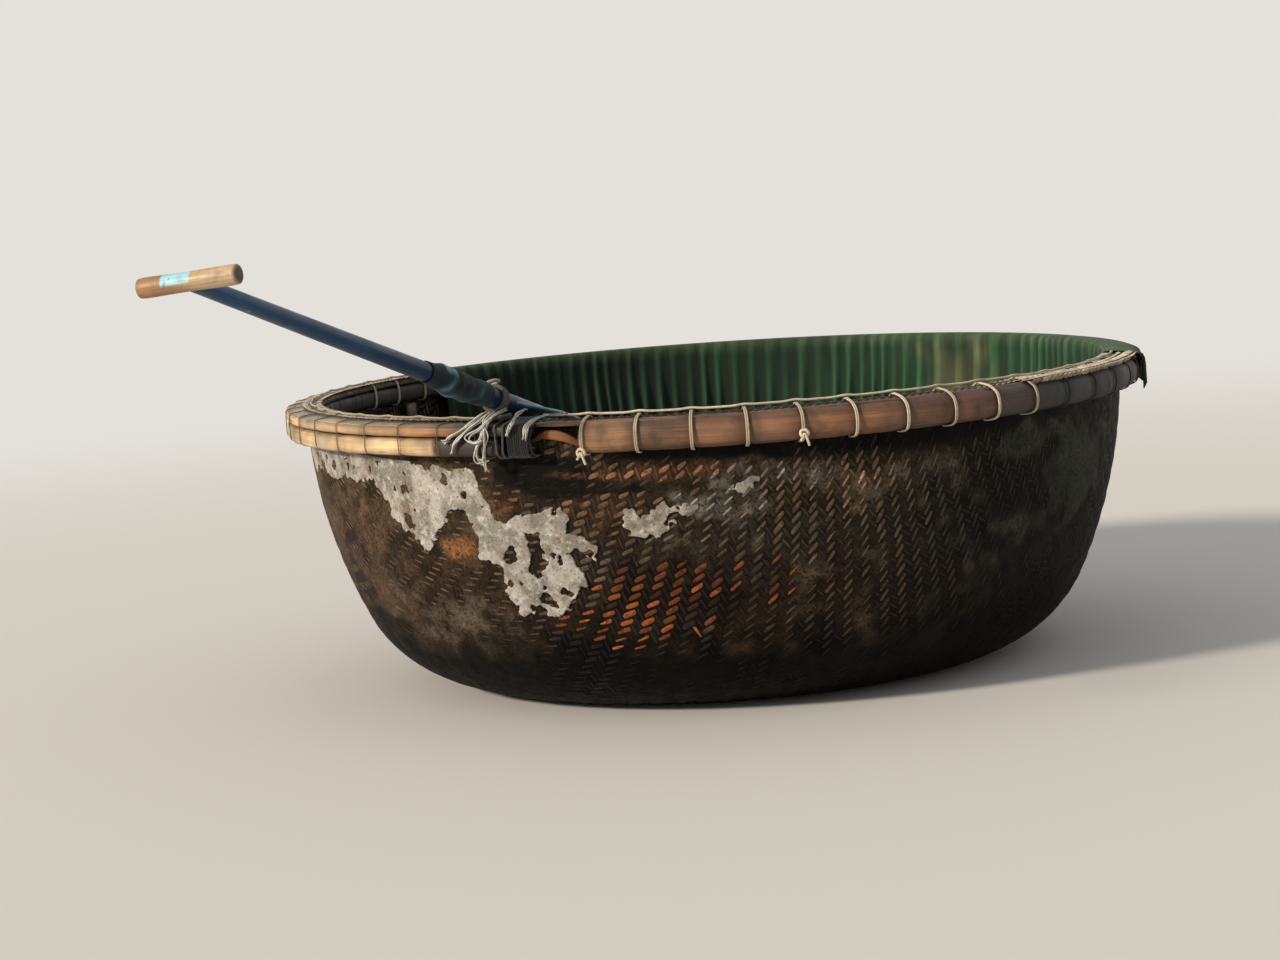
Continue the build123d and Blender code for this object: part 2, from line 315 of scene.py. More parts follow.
def sleeve(rings: Array, along: Array, around: Array, tint: Array | None = None, ends: bool = True) -> Draft:
    """Skin a run of rings of points.

    Args:
        rings: The points, by ring and by place round it.
        along: Each ring's place along the grain.
        around: Each point's place across the grain.
        tint: A linear colour for each point.
        ends: Whether both ends are closed.

    Returns:
        The skin, whose grain runs along it.
    """
    rows, sides = rings.shape[:2]
    faces = ring_faces(rows, sides) if ends else grid_faces(rows, sides, False, True).tolist()
    grain = stacked(along[:, None], around)
    return Draft(rings.reshape(-1, 3), faces, grain.reshape(-1, 2), tint)


def laid_rope(path: Array, radius: float, sides: int, lay: float, closed: bool = False) -> Draft:
    """A laid rope along a path, with frames carried along it and its strands twisted round it.

    Args:
        path: The centreline's points.
        radius: The rope's radius.
        sides: How many sides it has.
        lay: The length in which a strand goes once round.
        closed: Whether the path joins up.

    Returns:
        The rope, with capped ends unless it joins up, whose grain runs along it.
    """
    ahead = np.roll(path, -1, axis=0) - np.roll(path, 1, axis=0)
    if not closed:
        ahead[0], ahead[-1] = path[1] - path[0], path[-1] - path[-2]
    ahead /= np.linalg.norm(ahead, axis=1)[:, None]
    side = np.cross(ahead[0], [0.31, 0.22, 0.93])
    sides_at = []
    for direction in ahead:
        side = side - direction * (side @ direction)
        side = side / np.linalg.norm(side)
        sides_at.append(side)
    across = np.array(sides_at)
    up = np.cross(ahead, across)
    length = travelled(path)
    angle = np.arange(sides) / sides * TAU
    turn = (angle + (length / lay * TAU)[:, None])[..., None]
    reach = radius * (1 - STRAND_GROOVE + STRAND_GROOVE * np.abs(np.cos(STRANDS * angle / 2)))[:, None]
    rings = path[:, None] + reach * (np.cos(turn) * across[:, None] + np.sin(turn) * up[:, None])
    draft = sleeve(rings, length, angle * radius)
    if closed:
        draft.faces = grid_faces(len(path), sides, True, True).tolist()
    return draft


def through(path: Sequence[Sequence[float]], step: float = 0.006) -> Array:
    """Round off the corners of a section that a cord or cloth is held against.

    Args:
        path: The corners.
        step: The spacing of the points.

    Returns:
        Points along a smooth line through the corners.
    """
    knots = np.array(path, float)
    padded = np.concatenate([[2 * knots[0] - knots[1]], knots, [2 * knots[-1] - knots[-2]]])
    out = []
    for a, b, c, d in zip(padded, padded[1:], padded[2:], padded[3:]):
        count = max(2, int(np.linalg.norm(c - b) / step))
        t = (np.arange(count) / count)[:, None]
        bend = (2 * a - 5 * b + 4 * c - d) * t**2 + (3 * b - a - 3 * c + d) * t**3
        out.append(b + 0.5 * ((c - a) * t + bend))
    return np.concatenate([*out, knots[-1:]])


def spline_points(route: Array) -> Array:
    """Read points from a NURBS spline.

    Args:
        route: A rope's route as listed, which gives the spline's control points.

    Returns:
        Points along the spline.
    """
    curve = bpy.data.curves.new("route", "CURVE")
    curve.dimensions = "3D"
    curve.resolution_u = SPLINE_STEPS
    spline = curve.splines.new("NURBS")
    spline.points.add(len(route) - 1)
    for point, place in zip(spline.points, route):
        point.co = (*map(float, place), 1.0)
    spline.order_u = 3
    spline.use_endpoint_u = True
    holder = linked("route", curve)
    graph = bpy.context.evaluated_depsgraph_get()
    points = coordinates(bpy.data.meshes.new_from_object(holder.evaluated_get(graph)))
    bpy.data.objects.remove(holder)
    return points


def thickened(piece: Piece, thickness: float) -> Piece:
    """Give a sheet of cloth its thickness, half on each side."""
    solid = piece.modifiers.new("thickness", "SOLIDIFY")
    solid.thickness = thickness
    solid.offset = 0
    return piece


def settle(piece: Piece, slot: str, *nodes: str, body: str = HULL_BODY) -> None:
    """Tie a finished piece to the frame.

    Args:
        piece: The finished object.
        slot: The record's material slot for its finish; not used.
        nodes: The CAD nodes that it stands for.
        body: The body that it moves with.
    """
    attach(piece, body)
    if nodes:
        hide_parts(*nodes)
    LOG.info("%s: %d faces on %s", piece.name, len(piece.data.polygons), body)


# Node trees


def add_node(tree: Tree, kind: str, inputs: Inputs | None = None, **settings: Any) -> Node:
    """Add a node, set its properties, and fill or link its inputs.

    Args:
        tree: The tree that it goes into.
        kind: Blender's name for the node's type.
        inputs: For each socket's identifier, name or place, a value or the socket that feeds it.
        settings: The node's own properties.

    Returns:
        The node.
    """
    made = tree.nodes.new(kind)
    for name, value in settings.items():
        setattr(made, name, value)
    for key, value in (inputs or {}).items():
        if isinstance(key, int):
            socket = made.inputs[key]
        else:
            socket = next((s for s in made.inputs if s.identifier == key), None) or made.inputs[key]
        if isinstance(value, Socket):
            tree.links.new(value, socket)
        else:
            socket.default_value = value
    return made


def start_tree(name: str, inputs: dict[str, str]) -> tuple[Tree, Any]:
    """Start a geometry tree.

    Args:
        name: The tree's name.
        inputs: The kind of each of its named inputs.

    Returns:
        The tree, and the sockets that give its inputs.
    """
    tree = bpy.data.node_groups.new(name, "GeometryNodeTree")
    tree.is_modifier = True
    for title, kind in inputs.items():
        tree.interface.new_socket(title, in_out="INPUT", socket_type="NodeSocket" + kind)
    tree.interface.new_socket("Laid", in_out="OUTPUT", socket_type="NodeSocketGeometry")
    return tree, add_node(tree, "NodeGroupInput").outputs


def end_tree(tree: Tree, points: Socket, shape: Socket, turn: Socket, material: Material) -> None:
    """Lay a shape on a tree's points, each with its turn, as real geometry with its material set."""
    inputs: Inputs = {"Points": points, "Instance": shape, "Rotation": turn}
    laid = add_node(tree, "GeometryNodeInstanceOnPoints", inputs)
    real = add_node(tree, "GeometryNodeRealizeInstances", {"Geometry": laid.outputs[0]})
    inputs = {"Geometry": real.outputs[0], "Material": material}
    dressed = add_node(tree, "GeometryNodeSetMaterial", inputs)
    add_node(tree, "NodeGroupOutput", {"Laid": dressed.outputs[0]})


def per_metre(size_mm: float) -> float:
    """The noise scale whose features are about this many millimetres across."""
    return 1000 / size_mm


@dataclass
class Surface:
    """A material in the making: patterns in the piece's own directions, laid over each other.

    Args:
        name: What the real finish is.
        plain: Values that are the same all over, set on the shader's own sockets.
    """

    name: str
    plain: dict[str, Any]

    def __post_init__(self) -> None:
        """Start the tree with its shader."""
        self.material = bpy.data.materials.new(self.name)
        self.material.use_nodes = True
        self.tree = self.material.node_tree
        self.tree.nodes.clear()
        self.shader = add_node(self.tree, "ShaderNodeBsdfPrincipled", self.plain)
        add_node(self.tree, "ShaderNodeOutputMaterial", {"Surface": self.shader.outputs["BSDF"]})
        self.colour = add_node(self.tree, "ShaderNodeAttribute", attribute_name=TINT).outputs["Color"]

    def along_grain(self, along: float, across: float) -> Socket:
        """The place on the piece along and across its grain, in metres times these scales."""
        place = add_node(self.tree, "ShaderNodeUVMap", uv_map=GRAIN)
        inputs: Inputs = {0: place.outputs["UV"], 1: (along, across, 1.0)}
        return add_node(self.tree, "ShaderNodeVectorMath", inputs, operation="MULTIPLY").outputs["Vector"]

    def fibres(self, along_mm: float, across_mm: float, detail: float = 4.0) -> Socket:
        """Streaks along the piece's grain, of a real length and width."""
        place = self.along_grain(per_metre(along_mm), per_metre(across_mm))
        inputs = {"Vector": place, "Scale": 1.0, "Detail": detail}
        return add_node(self.tree, "ShaderNodeTexNoise", inputs).outputs["Fac"]

    def blots(self, size_mm: float, detail: float = 4.0, rough: float = 0.5) -> Socket:
        """Blots in space of a real size."""
        place = add_node(self.tree, "ShaderNodeTexCoord").outputs["Object"]
        inputs = {"Vector": place, "Scale": per_metre(size_mm), "Detail": detail, "Roughness": rough}
        return add_node(self.tree, "ShaderNodeTexNoise", inputs).outputs["Fac"]

    def ranged(self, pattern: Socket, span: tuple[float, float], least: float, most: float) -> Socket:
        """Carry a pattern's span over to values from the least to the most."""
        ends = {"Value": pattern, "From Min": span[0], "From Max": span[1], "To Min": least, "To Max": most}
        return add_node(self.tree, "ShaderNodeMapRange", ends).outputs["Result"]

    def lay(self, above: str, pattern: Socket, low: float, high: float, share: float) -> None:
        """Lay a colour over the others where a pattern is strong.

        Args:
            above: The colour's hex value.
            pattern: How strong the pattern is at each place.
            low: Where it starts to cover.
            high: Where it covers most.
            share: How much it covers there.
        """
        cover = self.ranged(pattern, (low, high), 0.0, share)
        inputs = {"Factor_Float": cover, "A_Color": self.colour, "B_Color": rgba(above)}
        self.colour = add_node(self.tree, "ShaderNodeMix", inputs, data_type="RGBA").outputs[2]

    def shade(self, pattern: Socket, dark: float, light: float) -> None:
        """Darken and lighten the colour, from its level at a pattern's low end to that at its high end."""
        level = self.ranged(pattern, NOISE_SPAN, dark, light)
        inputs = {"Factor_Float": 1.0, "A_Color": self.colour, "B_Color": level}
        mix = add_node(self.tree, "ShaderNodeMix", inputs, data_type="RGBA", blend_type="MULTIPLY")
        self.colour = mix.outputs[2]

    def finished(self, relief: Sequence[tuple[Socket, float, float]],
                 gloss: tuple[Socket, float, float] | None = None) -> Material:
        """Link the shader's inputs.

        Args:
            relief: For each pattern that stands out, its socket, real depth in millimetres and strength.
            gloss: A pattern and the roughness at its low and high ends.

        Returns:
            The material.
        """
        self.tree.links.new(self.colour, self.shader.inputs["Base Color"])
        under: dict[str, Socket] = {}
        for height, depth_mm, strength in relief:
            inputs = {"Height": height, "Distance": depth_mm / 1000, "Strength": strength, **under}
            under = {"Normal": add_node(self.tree, "ShaderNodeBump", inputs).outputs["Normal"]}
        self.tree.links.new(under["Normal"], self.shader.inputs["Normal"])
        if gloss is not None:
            pattern, first, last = gloss
            rough = self.ranged(pattern, NOISE_SPAN, first, last)
            self.tree.links.new(rough, self.shader.inputs["Roughness"])
        return self.material


# Finishes


@dataclass(frozen=True)
class WovenStrip:
    """Tarred split bamboo, as each strip shows in the weave: fibrous, worn and a little glossy."""

    fibre_mm: float = 2.2
    fibre_length_mm: float = 40.0
    grime_mm: float = 16.0
    grime: str = "#0E0A07"

    def material(self, name: str) -> Material:
        """Make the material, whose colour is painted strip by strip."""
        surface = Surface(name, {"IOR": 1.5, "Specular IOR Level": 0.18})
        fibre = surface.fibres(self.fibre_length_mm, self.fibre_mm)
        grime = surface.blots(self.grime_mm, 5.0, 0.7)
        speck = surface.blots(5, 3.0)
        surface.shade(fibre, 0.6, 1.2)
        surface.shade(speck, 0.7, 1.4)
        surface.lay(self.grime, grime, 0.50, 0.66, 0.8)
        return surface.finished([(grime, 2.5, 0.6), (fibre, 0.5, 0.7)], (grime, 0.34, 0.72))


@dataclass(frozen=True)
class TarSkin:
    """Tar and dirt brushed over the weave and worn back: dull, lumpy, mottled brown to black."""

    dark: str = "#080605"

    def material(self) -> Material:
        """Make the material, whose main colour is painted by place."""
        surface = Surface("worn tar on woven bamboo", {"IOR": 1.5, "Specular IOR Level": 0.07})
        mottle = surface.blots(30, 6.0, 0.68)
        grit = surface.blots(7, 4.0, 0.6)
        wear = surface.blots(55, 7.0, 0.72)
        surface.shade(mottle, 0.5, 1.5)
        surface.shade(wear, 0.6, 1.6)
        surface.lay(self.dark, grit, 0.48, 0.64, 0.75)
        return surface.finished([(mottle, 4.0, 0.6), (grit, 1.4, 0.8)], (mottle, 0.45, 0.85))


@dataclass(frozen=True)
class LimeCoat:
    """Lime and resin brushed on the weave: chalky pale grey, pitted, stained brown by its pores."""

    wash: str = "#6F685D"
    chalk: str = "#CFCAC0"
    stain: str = "#6B5137"
    pit: str = "#35291F"

    def material(self) -> Material:
        """Make the material, whose colour is painted by place."""
        surface = Surface("flaking lime coat", {"IOR": 1.45})
        wash = surface.blots(38, 7.0, 0.66)
        chalk = surface.blots(20, 6.0, 0.7)
        pit = surface.blots(6, 4.0, 0.6)
        stain = surface.blots(62, 7.0, 0.7)
        surface.lay(self.wash, wash, 0.46, 0.62, 0.75)
        surface.lay(self.chalk, chalk, 0.52, 0.66, 0.7)
        surface.lay(self.stain, stain, 0.54, 0.66, 0.75)
        surface.lay(self.pit, pit, 0.56, 0.66, 0.65)
        return surface.finished([(wash, 4.0, 0.6), (pit, 1.2, 0.8)], (wash, 0.72, 0.95))


class Culm(Enum):
    """The bamboos of the rim and ribs, by how they were worked."""

    HOOP = "weathered bamboo hoop"
    STRIP = "shaved bamboo strip"
    LATH = "red-brown bamboo lath"
    RIB = "split bamboo rib"
    PLAIT = "plaited bamboo leaf"


@dataclass(frozen=True)
class SplitBamboo:
    """Split bamboo: long fibres, weather streaks, fine dark checks and dirt in the low places."""

    culm: Culm
    fibre_mm: float = 3.4
    fibre_length_mm: float = 190.0
    streak_mm: float = 13.0
    stain: str = "#3A281D"
    check: str = "#1C130D"
    stained: float = 0.55

    def material(self) -> Material:
        """Make the material, whose colour is painted by place and whose grain runs along the piece."""
        surface = Surface(self.culm.value, {"IOR": 1.5})
        fibre = surface.fibres(self.fibre_length_mm, self.fibre_mm, 5.0)
        streak = surface.fibres(280, self.streak_mm, 4.0)
        weather = surface.blots(70, 6.0, 0.65)
        check = surface.fibres(150, 2.0, 2.0)
        surface.shade(streak, 0.66, 1.16)
        surface.shade(fibre, 0.72, 1.1)
        surface.lay(self.stain, weather, 0.5, 0.72, self.stained)
        surface.lay(self.check, check, 0.64, 0.7, 0.7)
        return surface.finished([(streak, 2.0, 0.6), (fibre, 0.7, 0.7)], (weather, 0.42, 0.75))


class Yarn(Enum):
    """The cords, each with its light and dark colours."""

    CREAM = ("cream cotton cord", "#E6D7BC", "#9C8869")
    TAN = ("thin tan cord", "#8C7353", "#4A3826")
    # BLACK stands for cord in shade, on the sunless right end and by the oar's tie: painted shade.
    BLACK = ("blackened cord", "#23211E", "#100F0E")
    GREY = ("greyed laid rope", "#5C564D", "#2A2622")
    FRAYED = ("frayed grey-white rope", "#D6D2C8", "#86806F")

    def dyed(self, draft: Draft, seed: int = 0, share: Array | float = 1.0) -> Draft:
        """Colour a draft of this cord, cleaner in some places and dirtier in others.

        Args:
            draft: The cord.
            seed: Which variation.
            share: How clean each point is, from 0 to 1.

        Returns:
            The same draft.
        """
        clean = np.clip(share * (0.85 + 0.35 * cloud(draft.points, 0.07, 300 + seed)), 0, 1)
        draft.tint = mixed(self.value[2], self.value[1], clean)
        return draft


@dataclass(frozen=True)
class LaidCord:
    """Laid cord: soft, dull fibres with dirt between the strands."""

    yarn: Yarn
    hair_mm: float = 1.4

    def material(self) -> Material:
        """Make the material, whose hairs run along the cord."""
        name, _, dark = self.yarn.value
        surface = Surface(name, {"IOR": 1.45, "Roughness": 0.9, "Sheen Weight": 0.2, "Sheen Roughness": 0.5})
        hair = surface.fibres(9, self.hair_mm, 3.0)
        dirt = surface.blots(12, 4.0)
        surface.shade(hair, 0.7, 1.1)
        surface.lay(dark, dirt, 0.52, 0.7, 0.55)
        return surface.finished([(hair, 0.7, 0.8)])


class Cloth(Enum):
    """The cloths: each has its name and its thread spacing in millimetres, drawn coarse enough to show."""

    LINING = ("green knitted shade net", 6.0)
    WRAP = ("teal net wrap", 5.0)


@dataclass(frozen=True)
class NetCloth:
    """Knitted polyethylene net: fine ladders of thread, faded in streaks down the folds."""

    cloth: Cloth
    gap: str = "#0F1A14"

    def material(self) -> Material:
        """Make the material, whose threads follow the cloth's own directions."""
        name, thread_mm = self.cloth.value
        surface = Surface(name, {"Roughness": 0.7, "Specular IOR Level": 0.2, "Sheen Weight": 0.04})
        tree = surface.tree
        scale = TAU * per_metre(thread_mm)
        place = surface.along_grain(scale, scale)
        waves = add_node(tree, "ShaderNodeVectorMath", {0: place}, operation="SINE")
        split = add_node(tree, "ShaderNodeSeparateXYZ", {"Vector": waves.outputs["Vector"]})
        inputs: Inputs = {0: split.outputs["X"], 1: split.outputs["Y"]}
        knit = add_node(tree, "ShaderNodeMath", inputs, operation="MULTIPLY").outputs[0]
        streak = surface.fibres(16, 260, 4.0)
        fade = surface.blots(110, 5.0)
        surface.shade(streak, 0.66, 1.25)
        surface.shade(fade, 0.82, 1.15)
        surface.lay(self.gap, knit, 0.0, 0.9, 0.38)
        return surface.finished([(knit, 0.9, 0.6), (streak, 2.0, 0.4)])


@dataclass(frozen=True)
class WornPaint:
    """Brushed navy enamel on wood: glossy where whole, chalky and scraped to the wood at the edges."""

    faded: str = "#4C84A6"
    wood: str = "#8C7A63"

    def material(self) -> Material:
        """Make the material, whose brush marks run along the oar."""
        surface = Surface("worn navy enamel on wood", {"IOR": 1.5, "Specular IOR Level": 0.35})
        brush = surface.fibres(140, 4, 4.0)
        fade = surface.blots(80, 5.0)
        chip = surface.fibres(60, 12, 6.0)
        surface.shade(brush, 0.72, 1.15)
        surface.lay(self.faded, fade, 0.6, 0.8, 0.14)
        surface.lay(self.wood, chip, 0.69, 0.72, 0.9)
        return surface.finished([(chip, -0.5, 0.5), (brush, 0.5, 0.6)], (fade, 0.28, 0.5))


@dataclass(frozen=True)
class HandledWood:
    """Bare hardwood polished by hands: warm, streaked, and dark at its end grain, which also takes painted
    shade.
    """

    dark: str = "#6A4A33"

    def material(self) -> Material:
        """Make the material, whose grain runs along the grip."""
        surface = Surface("hand-polished grip wood", {"IOR": 1.5})
        grain = surface.fibres(90, 4, 5.0)
        wear = surface.blots(26, 5.0)
        surface.shade(grain, 0.72, 1.1)
        surface.lay(self.dark, wear, 0.55, 0.72, 0.4)
        return surface.finished([(grain, 0.6, 0.6)], (wear, 0.4, 0.6))


# The bowl: its form, its weave and its colours


@dataclass(frozen=True)
class Bowl:
    """The basket's outside as a mat pressed into a bowl: flat floor, bilge arc and side arc.

    The bilge turns through the angle given, and the side makes up the rest of the upright.
    """

    rim_r: float
    top: float
    floor_r: float = 0.620
    turn: float = math.radians(65)
    wall: float = 0.010

    @property
    def radii(self) -> tuple[float, float]:
        """The radii of the bilge and side arcs."""
        s, c = math.sin(self.turn), math.cos(self.turn)
        spread = s * c - (1 - s) * (1 - c)
        bilge = ((self.rim_r - self.floor_r) * c - self.top * (1 - s)) / spread
        side = (self.top * s - (self.rim_r - self.floor_r) * (1 - c)) / spread
        return bilge, side

    @property
    def reach(self) -> float:
        """The distance over the surface from the centre of the floor to the upper edge."""
        bilge, side = self.radii
        return self.floor_r + bilge * self.turn + side * (math.pi / 2 - self.turn)

    @property
    def degree(self) -> float:
        """The length of one degree of the upper edge."""
        return math.radians(1) * self.rim_r

    def profile(self, reach: Array) -> tuple[Array, Array, Array]:
        """Radius, height and slope in radians at a distance over the surface from the centre."""
        bilge, side = self.radii
        low = np.clip((reach - self.floor_r) / bilge, 0, self.turn)
        high = np.clip((reach - self.floor_r - bilge * self.turn) / side, 0, math.pi / 2 - self.turn)
        radius = (
            np.minimum(reach, self.floor_r)
            + bilge * np.sin(low)
            + side * (np.sin(self.turn + high) - math.sin(self.turn))
        )
        height = bilge * (1 - np.cos(low)) + side * (math.cos(self.turn) - np.cos(self.turn + high))
        return radius, height, low + high

    def place(self, flat: Array, inset: Array | float) -> Array:
        """Press points of the flat mat into the bowl.

        Args:
            flat: Points of the mat, one row each.
            inset: How far below the basket's outside each one lies.

        Returns:
            The points in space.
        """
        azimuth = np.arctan2(flat[:, 1], flat[:, 0])
        radius, height, slope = self.profile(np.hypot(flat[:, 0], flat[:, 1]))
        return on_circle(np.degrees(azimuth), radius - inset * np.sin(slope), height + inset * np.cos(slope))

    def reach_at(self, height: Array | float) -> Array:
        """The distance over the surface from the centre at which the outside has this height."""
        steps = np.linspace(self.floor_r, self.reach, 400)
        return np.interp(height, self.profile(steps)[1], steps)

    def spot(self, azimuths: Array, heights: Array, inset: Array | float = 0.0) -> Array:
        """Points on a layer of the bowl by azimuth and height of the outside."""
        reach = self.reach_at(heights)
        turn = np.radians(azimuths)
        return self.place(stacked(reach * np.cos(turn), reach * np.sin(turn)), inset)


@dataclass(frozen=True)
class Blot:
    """A mark on the bowl, by its middle and half sizes, with degrees round the bowl: stains, worn places and
    painted shadows are all blots.

    Its fill is how much more, or less, the tar floods the weave there, and its specks are how far it is
    broken up.
    """

    azimuth: float
    height: float
    half_turn: float
    half_height: float
    colour: str
    strength: float = 0.8
    ragged: float = 0.7
    fill: float = 0.0
    specks: float = 0.0

    def cover(self, azimuths: Array, heights: Array, noise: Array) -> Array:
        """How fully it covers each place, from 0 to 1."""
        beside = apart(azimuths, self.azimuth) / self.half_turn
        above = (heights - self.height) / self.half_height
        return smooth(0.0, 0.4, 1 - np.hypot(beside, above) + self.ragged * noise)


@dataclass(frozen=True)
class Weathering:
    """How the outside of the bowl is coloured and worn: a base that darkens downwards and takes painted shade
    on the sunless side, and blots over it.
    """

    upper: str = "#53442F"
    middle: str = "#45382A"
    lower: str = "#070605"
    painted_shade: str = "#181814"
    glint: str = "#9C552B"
    glint_dark: str = "#1E120B"
    glints: tuple[tuple[float, float, float, float, float], ...] = (
        (266.5, 0.325, 9.5, 0.080, 0.9),
        (258.5, 0.240, 7.0, 0.050, 0.9),
        (274.0, 0.330, 12.0, 0.120, 0.14),
        (120.0, 0.360, 16.0, 0.110, 0.35),
    )
    blots: tuple[Blot, ...] = (
        Blot(211, 0.43, 11, 0.17, "#544031", 0.6, 0.9, 0.1),
        Blot(222, 0.33, 10, 0.12, "#4E3C2E", 0.5, 1.0, 0.1),
        Blot(205, 0.28, 9, 0.08, "#3B3024", 0.5, 0.9, 0.1),
        Blot(233, 0.27, 10, 0.07, "#655C4E", 0.5, 1.2, 0.2),
        Blot(226, 0.52, 6, 0.06, "#4C3C2E", 0.6, 0.9, 0.2),
        Blot(236.5, 0.435, 4.6, 0.040, "#7C5434", 0.8, 0.9, 0.3),
        Blot(247.5, 0.560, 5.0, 0.035, "#6A4831", 0.7, 0.9, 0.0),
        Blot(258.0, 0.535, 7.0, 0.045, "#5E4633", 0.6, 0.9, -0.2),
        # Dark tar stain under the tie, with the painted shadow of the oar, its wrap and the tie over it.
        Blot(252.3, 0.612, 10.5, 0.080, "#080706", 0.97, 0.4, 0.3),
        Blot(266.5, 0.608, 13, 0.020, "#8A6044", 0.85, 0.5, -0.3),
        Blot(262.0, 0.575, 14, 0.016, "#0E0B09", 0.8, 0.5, 0.3),
        Blot(284.0, 0.590, 9.0, 0.050, "#8F877B", 0.9, 1.1, 0.1, 0.7),
        Blot(277.5, 0.525, 8.0, 0.055, "#878073", 0.9, 1.1, 0.1, 0.7),
        Blot(270.0, 0.440, 7.0, 0.050, "#675C4E", 0.6, 1.1, 0.05, 0.6),
        Blot(282.5, 0.628, 3.0, 0.013, "#080706", 0.95, 0.3, 0.2),
        Blot(293.0, 0.550, 6.0, 0.055, "#A58B6C", 0.85, 1.0, 0.0, 0.6),
        Blot(303.0, 0.560, 9.0, 0.060, "#6A6454", 0.7, 1.2, 0.0, 0.7),
        Blot(287.0, 0.450, 12, 0.080, "#5D5344", 0.5, 1.2, -0.1, 0.6),
        Blot(303.0, 0.430, 10, 0.120, "#4C473B", 0.5, 1.2, -0.1, 0.6),
        # Painted shadow of the rim on the hull just below it.
        Blot(300.0, 0.664, 34, 0.072, "#090807", 0.96, 0.35, 0.3),
        Blot(272.0, 0.660, 14, 0.034, "#090807", 0.96, 0.25, 0.3),
        Blot(266.0, 0.310, 13, 0.110, "#20130C", 0.85, 0.8, -0.5),
        Blot(318.0, 0.590, 9, 0.050, "#3F4238", 0.7, 1.2, 0.1),
        Blot(332.0, 0.480, 12, 0.100, "#31342C", 0.7, 1.2, 0.1),
        Blot(15, 0.52, 22, 0.12, "#5F5445", 0.5, 0.9, 0.1),
        Blot(60, 0.45, 26, 0.16, "#5A3E2C", 0.5, 0.9, 0.1),
        Blot(110, 0.52, 18, 0.10, "#7A7164", 0.55, 0.9, 0.1),
        Blot(150, 0.40, 24, 0.16, "#5C3F2D", 0.5, 0.9, 0.1),
        Blot(178, 0.55, 10, 0.09, "#6D655A", 0.6, 0.8, 0.2),
    )

    @staticmethod
    def noises(points: Array) -> tuple[Array, Array, Array]:
        """Azimuth on a scale without a seam at the right, and broad and fine noise, for each point."""
        azimuth = azimuth_of(points)
        turned = np.where(azimuth < 150, azimuth + 360, azimuth)
        return turned, cloud(points, 0.20, 12), cloud(points, 0.045, 11)

    def shade(self, turned: Array) -> Array:
        """How much painted shade of the sunless side each azimuth takes, from 0 to 1."""
        return smooth(292, 316, turned) * smooth(412, 380, turned)

    def colours(self, points: Array) -> Array:
        """Linear colours for points on the bowl's outside."""
        turned, broad, fine = self.noises(points)
        height = points[:, 2]
        wavy = height + 0.05 * broad + 0.025 * fine
        base = mixed(self.middle, self.upper, smooth(0.36, 0.62, wavy))
        # Painted shade: the sunless right side of the bowl is darkened.
        base = mixed(base, self.painted_shade, 0.85 * self.shade(turned))
        warm = 0.16 * cloud(points, 0.07, 14) + 0.12 * cloud(points, 0.02, 15)
        gaps = smooth(0.25, -0.25, cloud(points, 0.026, 17, 2))
        base = base * stacked(1 + warm, 1 + 0.3 * warm, 1 - 0.3 * warm)
        for blot in self.blots:
            cover = blot.cover(turned, height, 0.65 * fine + 0.45 * broad) * (1 - blot.specks * gaps)
            base = mixed(base, blot.colour, blot.strength * cover)
        return np.clip(mixed(base, self.lower, 0.97 * smooth(0.28, 0.15, wavy)), 0.001, 1)

    def flooding(self, points: Array) -> Array:
        """How far tar fills the weave: 0 lies between the strips and 1 is level with their crowns."""
        turned, broad, fine = self.noises(points)
        height = points[:, 2]
        left = smooth(254, 238, turned)
        fill = 0.36 + 0.30 * left + 0.16 * self.shade(turned) + 0.2 * smooth(0.25, 0.10, height)
        fill = fill + 0.26 * broad + 0.32 * fine
        for blot in self.blots:
            fill = fill + blot.fill * blot.cover(turned, height, 0.45 * broad)
        return np.clip(fill, 0.05, 1.04)

    def float_colours(self, points: Array, crosses: Array, seed: int) -> Array:
        """Linear colours for whole strips: the place's own, with worn orange strips among dark ones.

        Args:
            points: Where the strips show.
            crosses: Which of them belong to the second set, which is dirtier.
            seed: Which strips are worn.
        """
        azimuth, height = azimuth_of(points), points[:, 2]
        # Painted shade: strips on the sunless side are darkened too.
        clean = 1 - 0.35 * self.shade(self.noises(points)[0])
        colours = self.colours(points) * (np.where(crosses, 0.55, 1.5) * clean)[:, None]
        rng = np.random.default_rng(seed)
        luck = rng.uniform(size=len(points))
        bright = rng.uniform(0.3, 1.15, len(points))[:, None]
        odds = np.where(crosses, 0.08, 1.0)
        ragged = 0.35 * cloud(points, 0.07, 16)
        for middle, level, half_turn, half_height, chance in self.glints:
            away = np.hypot(apart(azimuth, middle) / half_turn, (height - level) / half_height) + ragged
            near = smooth(1.25, 0.6, away)
            dark = mixed(colours, self.glint_dark, 0.6 * near)
            lit = luck < chance * near * odds
            colours = np.where(lit[:, None], linear(self.glint) * bright, dark)
        return colours


